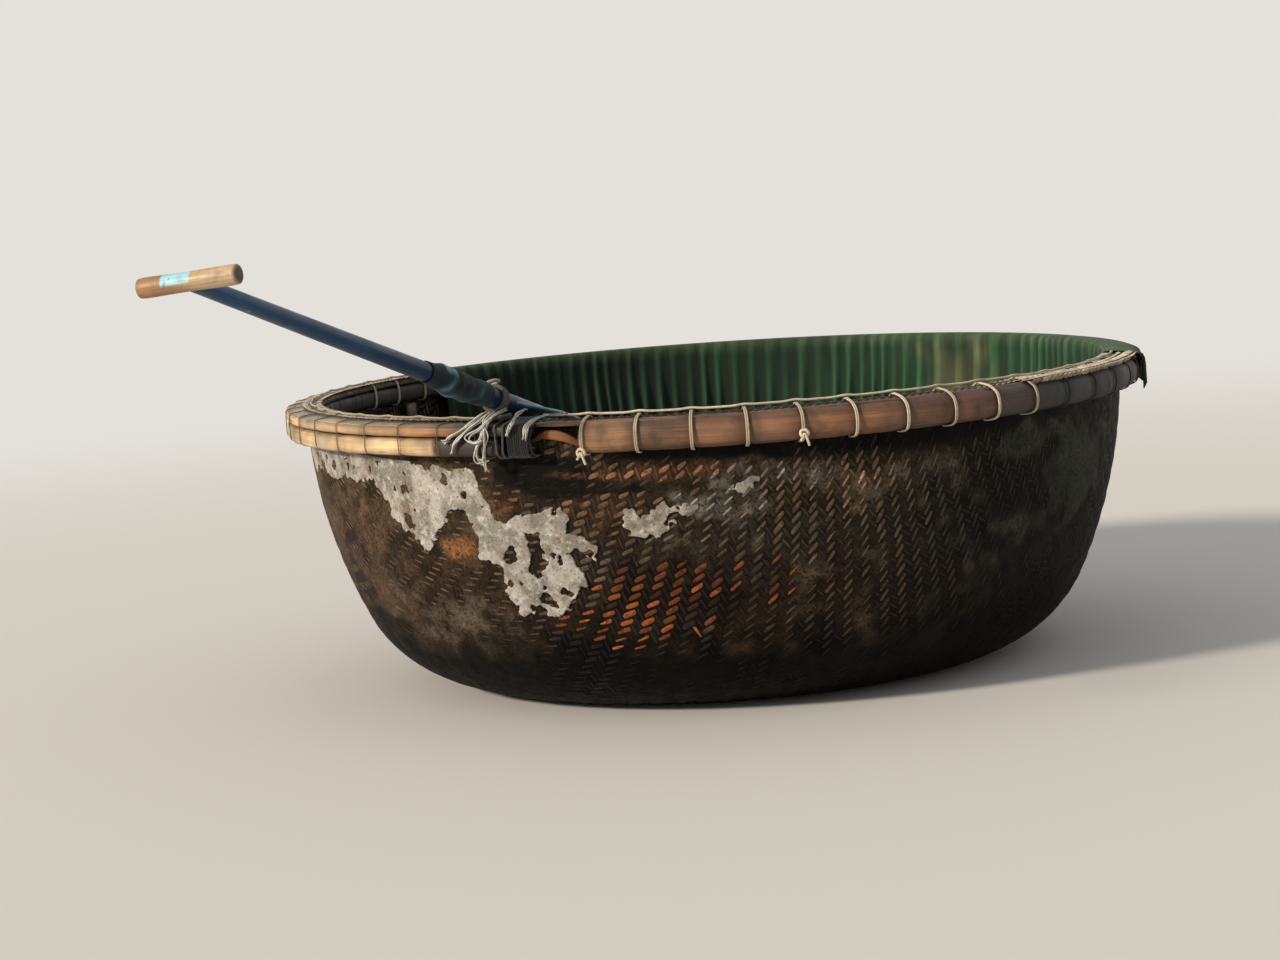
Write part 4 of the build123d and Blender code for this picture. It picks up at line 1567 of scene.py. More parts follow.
@dataclass(frozen=True)
class Rim:
    """The bound rim: hoops outside and inside, lath, plaited cap, cord turns and running cord."""

    sizes: RimSizes
    cord_d: float = 0.0038
    cord_gap: float = 0.0002
    leaf_pitch: float = 0.019
    cream_end: float = 319.5
    strip_end: float = 248.0
    strip_cut: float = 238.5
    front_drop: float = 0.017
    joint_turns: tuple[float, ...] = (249.9, 250.8, 251.7)
    split: str = "#A36A3D"
    knots: tuple[tuple[float, float], ...] = ((285.05, 0.680), (258.87, 0.668))

    def hoops(self) -> list[HoopLength]:
        """The lengths of split bamboo."""
        s = self.sizes
        top, wall = s.bowl.top, s.bowl.rim_r
        high, middle, near = s.lath_top - 0.001, s.low + 0.044, (s.left_start, s.right_start)
        hoop = HoopLength("rim_outer_front", s.break_end, s.right_start, s.low, high, wall, s.outer_r, 2.7,
                          Culm.HOOP, FRONT_STOPS, bulge=0.0046, broken=0.25, seed=2)
        upper = HoopLength("rim_outer_left_upper", s.left_start, s.break_start, middle + 0.0005, high, wall,
                           s.outer_r - 0.001, 5.0, Culm.STRIP, UPPER_STOPS, bulge=0.0008, grime=0.16,
                           broken=0.3, seed=5)
        lath = HoopLength("rim_lath_near", *near, top + 0.0005, s.lath_top, s.lath_r - 0.040, s.lath_r, 3.0,
                          Culm.LATH, LATH_STOPS, bulge=0.0008, broken=0.2, seed=7)
        inner = HoopLength("rim_inner_near", *near, s.inner_low, top, wall - s.bowl.wall, s.inner_r, 3.0,
                           Culm.RIB, INNER_STOPS, bulge=0.0012, seed=9)
        whole = replace(hoop, broken=0.0, high=top)
        far = {"start": s.right_start, "end": s.left_start + 360}
        return [
            hoop,
            replace(whole, name="rim_outer_right", start=s.right_start, end=s.back_start + 360,
                    stops=RIGHT_STOPS, seed=3),
            replace(whole, name="rim_outer_back", start=s.back_start, end=s.left_start,
                    stops=BACK_STOPS, seed=4),
            upper,
            replace(upper, name="rim_outer_left_lower", end=self.strip_cut - 0.15, low=s.low,
                    high=middle - 0.0005, outer=s.outer_r, squareness=5.5, stops=LOWER_STOPS,
                    slot="pale_bamboo", broken=0.04, seed=6),
            lath,
            replace(lath, name="rim_lath_far", broken=0.0, stops=FAR_LATH_STOPS, seed=8, **far),
            inner,
            replace(inner, name="rim_inner_far", seed=10, **far),
        ]

    def outline(self, growth: float, barrel: bool = False, step: float = 0.008) -> Array:
        """The line that a cord turn follows round the rim, as radius and height, from wall to wall.

        Args:
            growth: How far the cord's centre stands off the rim.
            barrel: Whether it goes round the round hoop and not the squarer strips and lath.
            step: The spacing of its points.
        """
        s = self.sizes
        top, wall, g = s.bowl.top, s.bowl.rim_r, growth
        strips = [
            (s.outer_r - 0.016, 0, s.low + 0.001 - g),
            (s.outer_r - 0.002 + g * 0.7, 0, s.low + 0.008),
            (s.outer_r + g - 0.0008, 0, (s.low + top) / 2),
            (s.outer_r - 0.001 + g * 0.7, 0, top - 0.002),
            (s.lath_r + 0.001 + g, 0, s.lath_top - 0.002),
        ]
        hoop = [
            (s.outer_r - 0.016, 0, s.low + 0.005 - g),
            (s.outer_r - 0.005 + g * 0.7, 0, s.low + 0.0145 - g * 0.5),
            (s.outer_r + g - 0.0008, 0, (s.low + s.lath_top) / 2),
            (s.outer_r - 0.005 + g * 0.7, 0, top - 0.004),
            (s.outer_r - 0.015 + g * 0.5, 0, top + 0.005 + g * 0.6),
        ]
        return through([
            (wall - 0.002, 0, s.low - g),
            (wall + 0.012, 0, s.low - g),
            *(hoop if barrel else strips),
            (s.lath_r - 0.026, 0, s.lath_top + 0.001 + g),
            (s.cap_out - 0.010, 0, s.cap_top - 0.001 + g),
            ((s.cap_out + s.inner_r) / 2, 0, s.cap_top + g),
            (s.inner_r + 0.006, 0, s.cap_top - 0.006 + g),
            (s.inner_r - g, 0, top - 0.004),
            (s.inner_r - g, 0, s.inner_low + 0.012),
            (s.inner_r + 0.008, 0, s.inner_low - g),
            (wall - s.bowl.wall + 0.002, 0, s.inner_low + 0.002 - g),
        ], step)

    @staticmethod
    def cord_tree(loop: Piece, material: Material) -> Tree:
        """Turn a line into a bundle of cords and lay the bundle at every azimuth."""
        kinds = {"Places": "Geometry", "Cord radius": "Float", "Strands": "Int", "Spacing": "Vector"}
        tree, given = start_tree("cord turns", kinds)
        line = add_node(tree, "GeometryNodeObjectInfo", {"Object": loop})
        curve = add_node(tree, "GeometryNodeMeshToCurve", {"Mesh": line.outputs["Geometry"]})
        inputs: Inputs = {"Resolution": 7, "Radius": given["Cord radius"]}
        profile = add_node(tree, "GeometryNodeCurvePrimitiveCircle", inputs)
        inputs = {"Curve": curve.outputs[0], "Profile Curve": profile.outputs[0], "Fill Caps": True}
        cord = add_node(tree, "GeometryNodeCurveToMesh", inputs)
        inputs = {"Count": given["Strands"], "Offset": given["Spacing"]}
        row = add_node(tree, "GeometryNodeMeshLine", inputs)
        inputs = {"Points": row.outputs[0], "Instance": cord.outputs[0]}
        bundle = add_node(tree, "GeometryNodeInstanceOnPoints", inputs)
        turn = add_node(tree, "GeometryNodeInputNamedAttribute", {"Name": "turn"}, data_type="FLOAT")
        spun = add_node(tree, "ShaderNodeCombineXYZ", {"Z": turn.outputs[0]})
        end_tree(tree, given["Places"], bundle.outputs[0], spun.outputs[0], material)
        return tree

    def cord_turns(self, name: str, azimuths: Array, diameter: float, strands: int,
                   yarn: Yarn, growth: float, least: float = 0.35, barrel: bool = False) -> Piece:
        """Bundles of cord round the rim.

        Args:
            name: The piece's name.
            azimuths: Where each bundle lies.
            diameter: The cord's diameter.
            strands: How many cords lie side by side.
            yarn: The cord's colours.
            growth: How far the cord's centre stands off the rim.
            least: How clean the dirtiest bundle is.
            barrel: Whether it goes round the round hoop.

        Returns:
            The finished mesh.
        """
        line = self.outline(growth, barrel)
        spacing = diameter + self.cord_gap
        line[:, 1] -= spacing * (strands - 1) / 2
        mesh = bpy.data.meshes.new("cord line")
        mesh.from_pydata(line.tolist(), [(n, n + 1) for n in range(len(line) - 1)], [])
        loop = linked("cord_line", mesh)
        places = bpy.data.meshes.new("cord places")
        places.from_pydata([(0, 0, 0)] * len(azimuths), [], [])
        turn = places.attributes.new("turn", "FLOAT", "POINT")
        turn.data.foreach_set("value", np.radians(azimuths).astype(np.float32))
        clean = np.random.default_rng(len(azimuths)).uniform(least, 1.0, len(azimuths))
        paint(places, yarn.dyed(Draft(on_circle(azimuths, 1.0, 0.7), []), 1, clean).tint)
        inputs = {"Cord radius": diameter / 2, "Strands": strands, "Spacing": (0.0, spacing, 0.0)}
        tree = self.cord_tree(loop, LaidCord(yarn).material())
        made = grown(linked(name + "_places", places), tree, name, inputs)
        bpy.data.objects.remove(loop)
        x, y, z = coordinates(made.data).T
        map_grain(made.data, stacked(z + x * 0.3, y - x))
        return made

    def cap(self) -> None:
        """The plaited cover of the basket's edge: a core with leaves laid slantwise over it."""
        s = self.sizes
        half = (s.cap_out - s.inner_r) / 2
        centre = (s.cap_out + s.inner_r) / 2
        rise = s.cap_top - s.bowl.top - 0.003
        count, sides = 240, 9
        angle = np.radians(np.linspace(0, 180, sides))
        out, up = half * 0.96 * np.cos(angle), rise * np.sin(angle) ** 0.7
        azimuths = np.arange(count) * 360 / count
        points = on_circle(azimuths[:, None], centre + out, s.bowl.top + 0.0005 + up).reshape(-1, 3)
        # The core shows only in the gaps between the leaves; its colour, a little over a quarter of theirs,
        # is painted shade in the gaps.
        tint = np.repeat(by_azimuth(azimuths, CAP_STOPS) * 0.28, sides, axis=0)
        core = Draft(points, grid_faces(count, sides, True, True).tolist(), None, tint)
        settle(core.build("rim_cap_core", TarSkin().material()), "pale_bamboo", "rim_cap")
        settle(self.plait(centre, half, rise), "pale_bamboo")

    def plait(self, centre: float, half: float, rise: float) -> Piece:
        """The slanting leaves of the plait: two rows all round, and two over the lath where it is pale."""
        count = int(TAU * centre / self.leaf_pitch)
        rng = np.random.default_rng(12)
        places, turns, tints = [], [], []
        top = self.sizes.bowl.top + rise - 0.0025
        rows = (
            (-1, centre - half * 0.46, top, 24.0, (0.0, 360.0)),
            (1, centre + half * 0.46, top, 24.0, (0.0, 360.0)),
            (-1, self.sizes.lath_r - 0.023, self.sizes.lath_top + 0.0045, -12.0, (317.0, 352.0)),
            (1, self.sizes.lath_r - 0.006, self.sizes.lath_top - 0.0015, 42.0, (318.0, 352.0)),
        )
        for row, (side, radius, height, lean_by, (first, last)) in enumerate(rows):
            azimuths = (np.arange(count) + 0.5 * row) * 360 / count
            azimuths = azimuths[(azimuths >= first) & (azimuths <= last)]
            low = 0.0060 * smooth(248, 256, azimuths) * smooth(322, 314, azimuths)
            places.append(on_circle(azimuths, radius, height - low))
            slant = Matrix.Rotation(side * math.radians(-33), 3, "Z")
            lean = Matrix.Rotation(-side * math.radians(lean_by), 3, "Y")
            for azimuth in azimuths:
                spun = Matrix.Rotation(math.radians(azimuth), 3, "Z") @ lean @ slant
                turns.append(tuple(spun.to_euler("XYZ")))
            shade = np.clip(rng.normal(0.95, 0.24, len(azimuths)), 0.35, 1.5)
            tints.append(by_azimuth(azimuths, CAP_STOPS) * shade[:, None])
        x, y = np.meshgrid([-1.0, -0.6, 0.0, 0.6, 1.0], [-1.0, -0.55, 0.0, 0.55, 1.0], indexing="ij")
        dome = 0.0054 * (1 - 0.8 * y**2) * (1 - 0.8 * x**4)
        flat = [x * half * 0.70, y * self.leaf_pitch * 0.46]
        points, grain = stacked(*flat, dome), np.stack(flat, axis=-1)
        faces = [face[::-1] for face in grid_faces(5, 5).tolist()]
        leaf = Draft(points.reshape(-1, 3), faces, grain.reshape(-1, 2))
        material = SplitBamboo(Culm.PLAIT, 2.4, 60, 8, stained=0.35).material()
        scatter = Scatter("rim_cap_plait", leaf, material, 0.03, 12)
        return scatter.build(np.concatenate(places), np.array(turns), np.concatenate(tints))

    def running_cord(self) -> None:
        """The cord that runs along the rim over the turns, dipping a little between them."""
        s = self.sizes
        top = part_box("rim_running_cord")[1].z - 0.0032
        drafts = []
        for start, end, seed, size in ((143.5, 243.9, 3, 0.0026), (252.7, 351.5, 4, 0.0033)):
            azimuths = np.linspace(start, end, int((end - start) / 0.17))
            line = on_circle(azimuths, s.inner_r + 0.020, 0.0)
            radius = s.inner_r + 0.020 + 0.006 * cloud(line, 0.16, seed)
            height = top - 0.0026 * (1 - s.pinch(azimuths)) + 0.0006 * cloud(line, 0.05, seed + 5)
            height = height + 0.0030 * smooth(250, 254, azimuths) * smooth(324, 314, azimuths)
            rope = laid_rope(on_circle(azimuths, radius, height), size, 8, 0.024)
            clean = np.interp(azimuth_of(rope.points), [150, 200, 244, 252, 320], [0.8, 0.45, 0.3, 1.0, 1.0])
            drafts.append(Yarn.CREAM.dyed(rope, seed, clean))
        cord = joined(drafts).build("rim_running_cord_laid", LaidCord(Yarn.CREAM).material())
        settle(cord, "cord", "rim_running_cord")

    def knot(self, azimuth: float, height: float) -> Draft:
        """A knot where a lashing's ends are tied off: a tight loop with two short tails."""
        out, radius = self.sizes.outer_r + 0.007, 0.0040
        ring = np.linspace(0, TAU, 29)[:-1]
        beside = np.degrees(0.0085 * np.cos(ring) / out)
        loop = on_circle(azimuth + beside, out + 0.002 * np.sin(2 * ring), height + 0.0080 * np.sin(ring))
        drafts = [laid_rope(loop, radius, 8, 0.014, True)]
        for side in (-1, 1):
            turns = azimuth + side * np.array([0, 0.25, 0.50])
            heights = height - np.array([0, 0.010, 0.022 + 0.006 * side])
            route = on_circle(turns, out + np.array([0.002, 0.005, 0.001]), heights)
            drafts.append(laid_rope(spline_points(route), radius * 0.8, 7, 0.014))
        return joined([Yarn.CREAM.dyed(draft) for draft in drafts])

    def broken_strip(self) -> None:
        """The bent strip left in the gap where the hoop has broken away."""
        s = self.sizes
        share = np.linspace(0, 1, 26)
        azimuths = s.break_start - 0.4 + (s.break_end - s.break_start + 0.6) * share
        bow = np.sin(share * math.pi)
        radius = s.bowl.rim_r + 0.006 + 0.014 * bow
        middle = s.bowl.top - 0.022 - 0.026 * share**2 + 0.010 * bow
        half = 0.012 * (0.45 + 0.55 * bow)
        sides = 10
        section = np.radians(np.linspace(0, 360, sides, endpoint=False))
        rings = on_circle(azimuths[:, None], radius[:, None] + 0.004 * np.cos(section),
                          middle[:, None] + half[:, None] * np.sin(section))
        # The strip darkens towards both ends, where it tucks behind the hoop: painted shade.
        tint = linear(self.split) * (1 - 0.6 * np.abs(2 * np.repeat(share, sides) - 1))[:, None]
        strip = sleeve(rings, np.radians(azimuths) * 1.05, section * 0.006, tint)
        made = strip.build("rim_broken_strip_bent", SplitBamboo(Culm.STRIP, stained=0.3).material())
        settle(made, "pale_bamboo", "rim_broken_strip")

    def build(self) -> None:
        """Make and dress the rim."""
        s = self.sizes
        finishes = {
            Culm.HOOP: SplitBamboo(Culm.HOOP, stained=0.8).material(),
            Culm.STRIP: SplitBamboo(Culm.STRIP, stain="#8A6A48", stained=0.3, streak_mm=9).material(),
            Culm.LATH: SplitBamboo(Culm.LATH).material(),
            Culm.RIB: SplitBamboo(Culm.RIB).material(),
        }
        for hoop in self.hoops():
            draft = hoop.draft(s)
            if hoop.name == "rim_lath_near":
                left = replace(hoop, end=s.break_start, broken=0.0, grime=0.2)
                front = replace(hoop, start=s.break_start, outer=s.lath_r - self.front_drop, broken=0.0)
                draft = joined([left.draft(s), front.draft(s)])
            if hoop.name == "rim_outer_left_lower":
                rest = replace(hoop, start=self.strip_cut + 0.1, end=self.strip_end, stops=LOWER_END_STOPS,
                               outer=hoop.outer - 0.003, broken=0.5)
                draft = joined([draft, rest.draft(s)])
            settle(draft.build(hoop.name + "_split", finishes[hoop.culm]), hoop.slot, hoop.name)
        self.cap()
        every = s.lashings
        on_strips = (every > s.left_start - 1.6) & (every < s.bare[0])
        # Lashings on the sunless right end and at the break by the tie are black: painted shade.
        in_shade = (every > self.cream_end) & (every < s.right_start + 3)
        in_shade = in_shade | (np.abs(every - s.break_start) < 0.5)
        cream, joint = every[~on_strips & ~in_shade], np.array(self.joint_turns)
        for name, slot, nodes, azimuths, size in (
            ("rim_lashings_cream", "cord", ["rim_lashings"], cream,
             (self.cord_d, 2, Yarn.CREAM, 0.0024, 0.35, True)),
            ("rim_lashings_tan", "dark_cord", [], every[on_strips],
             (0.0022, 1, Yarn.TAN, 0.0014, 0.2)),
            ("rim_lashings_black", "dark_cord", [], every[in_shade],
             (0.0030, 2, Yarn.BLACK, 0.0006, 0.0, True)),
            ("rim_joint_binding_cord", "dark_cord", ["rim_joint_binding"], joint,
             (0.0045, 4, Yarn.BLACK, 0.0030)),
        ):
            settle(self.cord_turns(name, azimuths, *size), slot, *nodes)
        self.running_cord()
        self.broken_strip()
        knots = joined([self.knot(azimuth, height) for azimuth, height in self.knots])
        settle(knots.build("rim_lashing_knots", LaidCord(Yarn.CREAM).material()), "cord")


# Ribs


@dataclass(frozen=True)
class Ribs:
    """Flat split bamboo ribs in two crossing layers inside the bowl."""

    bowl: Bowl
    thickness: float = 0.013
    width: float = 0.040
    pitch: float = 0.250
    count: int = 5
    seat: float = 0.0003
    top: float = 0.664
    colour: str = "#665644"

    def centre_line(self, across: float, inset: float) -> tuple[Array, Array]:
        """The points of a rib's underside and the directions into the bowl there."""
        reach_top = float(self.bowl.reach_at(self.top))
        start = abs(across)
        reach = start + (reach_top - start) * np.linspace(0, 1, 400) ** 2
        radius, height, slope = self.bowl.profile(reach)
        y = np.sqrt(np.maximum((radius - inset * np.sin(slope)) ** 2 - across**2, 0))
        z = height + inset * np.cos(slope)
        length = travelled(stacked(y, z))
        at = np.linspace(0, length[-1], int(length[-1] / 0.025) + 2)
        y, z, slope = (np.interp(at, length, values) for values in (y, z, slope))
        up = on_circle(np.degrees(np.arctan2(y, across)), -np.sin(slope), np.cos(slope))
        half = stacked(across, y, z)
        other, other_up = half[:0:-1] * [1, -1, 1], up[:0:-1] * [1, -1, 1]
        return np.concatenate([other, half]), np.concatenate([other_up, up])

    def draft(self, number: int, layer: int) -> Draft:
        """One rib, slightly arched in section, with the bamboo's joints across it."""
        across = (number - (self.count - 1) / 2) * self.pitch
        inset = self.bowl.wall + self.seat + layer * (self.thickness + self.seat)
        line, up = self.centre_line(across, inset)
        ahead = np.gradient(line, axis=0)
        ahead /= np.linalg.norm(ahead, axis=1)[:, None]
        side = np.cross(ahead, up)
        side /= np.linalg.norm(side, axis=1)[:, None]
        share = np.array([-1, -0.97, -0.8, -0.4, 0, 0.4, 0.8, 0.97, 1, 0.9, -0.9])
        high = np.array([0.25, 0.6, 0.86, 0.97, 1, 0.97, 0.86, 0.6, 0.25, 0.02, 0.02])
        wander = cloud(line, 0.3, 60 + number + 10 * layer)[:, None]
        length = travelled(line)
        ring = np.exp(-((((length + 0.07 * number) % 0.31) / 0.31 - 0.5) * 0.31 / 0.006) ** 2)[:, None]
        width = self.width / 2 * (1 + 0.06 * wander) * share
        lift = (self.thickness * high * (1 - 0.04 * np.abs(wander)) - 0.0004) * (0.94 + 0.05 * ring)
        rings = line[:, None] + side[:, None] * width[..., None] + up[:, None] * lift[..., None]
        if layer:
            rings = stacked(-rings[..., 1], rings[..., 0], rings[..., 2])
        shade = 1 + 0.2 * cloud(rings.reshape(-1, 3), 0.2, 65)[:, None]
        shade = shade * np.repeat(1 - 0.35 * ring, len(share), axis=0)
        return sleeve(rings, length, np.linspace(0, 0.08, len(share)), linear(self.colour) * shade)

    def build(self) -> None:
        """Make and dress the ribs."""
        material = SplitBamboo(Culm.RIB, stain="#241C15").material()
        for layer, name in enumerate(("rib_along", "rib_across")):
            for number in range(self.count):
                piece = self.draft(number, layer).build(f"{name}_{number + 1}_split", material)
                settle(piece, "rib_bamboo", f"{name}_{number + 1}")


# Cloth lining


@dataclass(frozen=True)
class Lining:
    """Green net cloth hung over the far rim: a short hem outside and a long pleated fall inside."""

    sizes: RimSizes
    start: float = 352.0
    span: float = 151.0
    drop_out: float = 0.096
    drop_in: float = 0.400
    off: float = 0.0056
    pleat: float = 0.024
    pleat_step: float = 0.046
    thickness: float = 0.0014
    flat: tuple[float, float] = (3.05, 0.62)
    green: str = "#27492F"
    # shadow and hem are painted shade; band is dust with painted light.
    shadow: str = "#15251B"
    hem: str = "#12181A"
    band: str = "#4A5A40"
    stain: str = "#6E684C"

    def fall(self) -> tuple[Array, Array, Array]:
        """The cloth's line over the rim, how freely it hangs at each point, and which points are inside."""
        s = self.sizes
        top = s.bowl.top
        over = through([
            (s.outer_r + self.off, 0, s.cap_top - self.drop_out),
            (s.outer_r + self.off, 0, s.low + 0.030),
            (s.outer_r + self.off, 0, top - 0.010),
            (s.lath_r + self.off, 0, s.lath_top + 0.001),
            (s.lath_r - 0.020, 0, s.lath_top + self.off + 0.002),
            (s.cap_out - 0.008, 0, s.cap_top + self.off),
            (s.inner_r + 0.012, 0, s.cap_top + self.off),
            (s.inner_r - self.off * 0.7, 0, s.cap_top - 0.002),
            (s.inner_r - self.off, 0, s.inner_low + 0.020),
        ], 0.010)[:, [0, 2]]
        centre = s.bowl.rim_r - s.bowl.radii[1]
        arc = s.inner_r - self.off - centre
        sweep = math.asin((self.drop_in - 0.018) / arc)
        angle = np.linspace(0.03, sweep, 30)
        down = stacked(centre + arc * np.cos(angle), top - arc * np.sin(angle))
        down = down[down[:, 1] < s.inner_low + 0.016]
        hung = 0.3 * smooth(s.cap_top, s.cap_top - 0.03, over[:, 1]) * (over[:, 0] < s.inner_r)
        loose = np.concatenate([
            np.maximum(np.interp(np.arange(len(over)), [0, 8, 9], [0.25, 0.0, 0.0]), hung),
            0.3 + 0.7 * smooth(s.inner_low + 0.02, s.inner_low - 0.14, down[:, 1]),
        ])
        inward = np.concatenate([np.zeros(len(over)), np.ones(len(down))])
        return np.concatenate([over, down]), loose, inward

    def draft(self) -> Draft:
        """The pleated sheet, with slack that grows downwards and an uneven hem."""
        line, loose, inward = self.fall()
        count = 760
        azimuths = np.linspace(self.start, self.start + self.span, count)
        turn = np.radians(azimuths) * self.sizes.inner_r
        rng = np.random.default_rng(5)
        edge = on_circle(azimuths, 1.0, 0.0)
        spread = 1 + 0.55 * cloud(edge, 0.16, 53)
        phase = np.cumsum(np.clip(spread, 0.4, 1.7)) * (turn[1] - turn[0]) / self.pleat_step
        size = np.interp(phase, np.arange(96), rng.uniform(0.12, 1.0, 96))
        crest = ((0.5 + 0.5 * np.sin(phase * TAU)) ** 2.4 * size)[:, None]
        away = self.pleat * crest * loose
        radius = line[:, 0] - away * np.where(line[:, 0] < self.sizes.inner_r, 1.0, -0.3)
        rolled = np.exp(-(((azimuths - self.start - 0.45) / 0.35) ** 2))[:, None]
        radius = radius + 0.009 * rolled * smooth(self.sizes.cap_out, self.sizes.outer_r, line[:, 0])
        hem = cloud(edge, 0.25, 51)[:, None] * 0.018
        height = line[:, 1] + hem * 0.8 * (smooth(0.25, 1.0, loose) * inward)
        outer = (1 - inward) * np.interp(np.arange(len(line)), [0, 6], [1, 0])
        hem = hem * smooth(self.start, self.start + 6, azimuths)[:, None]
        height = height + (np.abs(hem) * 0.8 + 0.018 * rolled) * outer
        points = on_circle(azimuths[:, None], radius, height).reshape(-1, 3)
        grain = stacked(turn[:, None] * 1.05, travelled(line)).reshape(-1, 2)
        tint = self.colours(points, (crest * (0.5 + 0.5 * loose)).ravel())
        return Draft(points, grid_faces(count, len(line)).tolist(), grain, tint)

    def colours(self, points: Array, crest: Array) -> Array:
        """Linear colours: painted shade on the far left, in the folds, lower down and on the hem outside,
        painted light on the crests, a band along the rim that is dust and painted light, and a stain in one
        place.
        """
        azimuth, height = azimuth_of(points), points[:, 2]
        # Painted shade: the far left of the cloth, which faces away from the sun.
        deep = smooth(50, 125, azimuth) * (azimuth < 200)
        base = mixed(self.green, self.shadow, 0.92 * deep)
        # The band along the rim is dust, lightened as painted light where the top catches the sun.
        base = mixed(base, self.band, 0.5 * smooth(0.700, 0.745, height))
        blot = np.hypot((azimuth - 50) / 11, (height - 0.60) / 0.22)
        stain = smooth(1.0, 0.2, blot + 0.4 * cloud(points, 0.06, 54))
        base = mixed(base, self.stain, 0.55 * stain)
        # Painted light on the crests of the pleats and on the cloth over the rim, painted shade in the folds.
        beyond = np.hypot(points[:, 0], points[:, 1]) > self.sizes.cap_out
        fold = smooth(0.0, 0.25, crest + 0.5 * beyond + 0.12 * smooth(0.70, 0.74, height))
        base = base * (0.55 + 0.45 * fold + 1.0 * crest + 0.15 * cloud(points, 0.12, 52))[:, None]
        # Painted shade: the cloth darkens lower down in the bowl.
        base = base * (0.62 + 0.42 * smooth(0.40, 0.66, height))[:, None]
        # Painted shade: the hem outside the rim is near black.
        brink = np.hypot(points[:, 0], points[:, 1]) > self.sizes.lath_r - 0.006
        outside = np.maximum(smooth(0.742, 0.722, height) * beyond, brink)
        return np.clip(mixed(base, self.hem, 0.9 * outside), 0.002, 1)

    def build(self) -> None:
        """Make and dress the lining."""
        sheet = self.draft().build("lining_cloth", NetCloth(Cloth.LINING).material())
        piece = thickened(sheet, self.thickness)
        settle(piece, "green_mesh", "lining")


# Oar


@dataclass(frozen=True)
class OarFrame:
    """The oar's own directions, as the CAD has them, from the place on its axis where it is tied.

    In degrees, the plan is the direction of its blade, the slope its dip towards the blade and the roll that
    of its face.
    """

    pivot: Vector
    plan: float = 70.8
    slope: float = 16.6
    roll: float = -5.0

    def place(self, local: Array) -> Array:
        """Points in space from stations along the shaft, distances across it and off its face."""
        plan, slope, roll = (math.radians(v) for v in (self.plan, self.slope, self.roll))
        level = np.array([math.cos(plan), math.sin(plan), 0])
        along = level * math.cos(slope) - np.array([0, 0, math.sin(slope)])
        face = np.cross(np.cross(level, [0, 0, 1]), along)
        face = face * math.cos(roll) + np.cross(along, face) * math.sin(roll)
        start = np.array(self.pivot)
        return start + local[:, :1] * along + local[:, 1:2] * np.cross(face, along) + local[:, 2:] * face


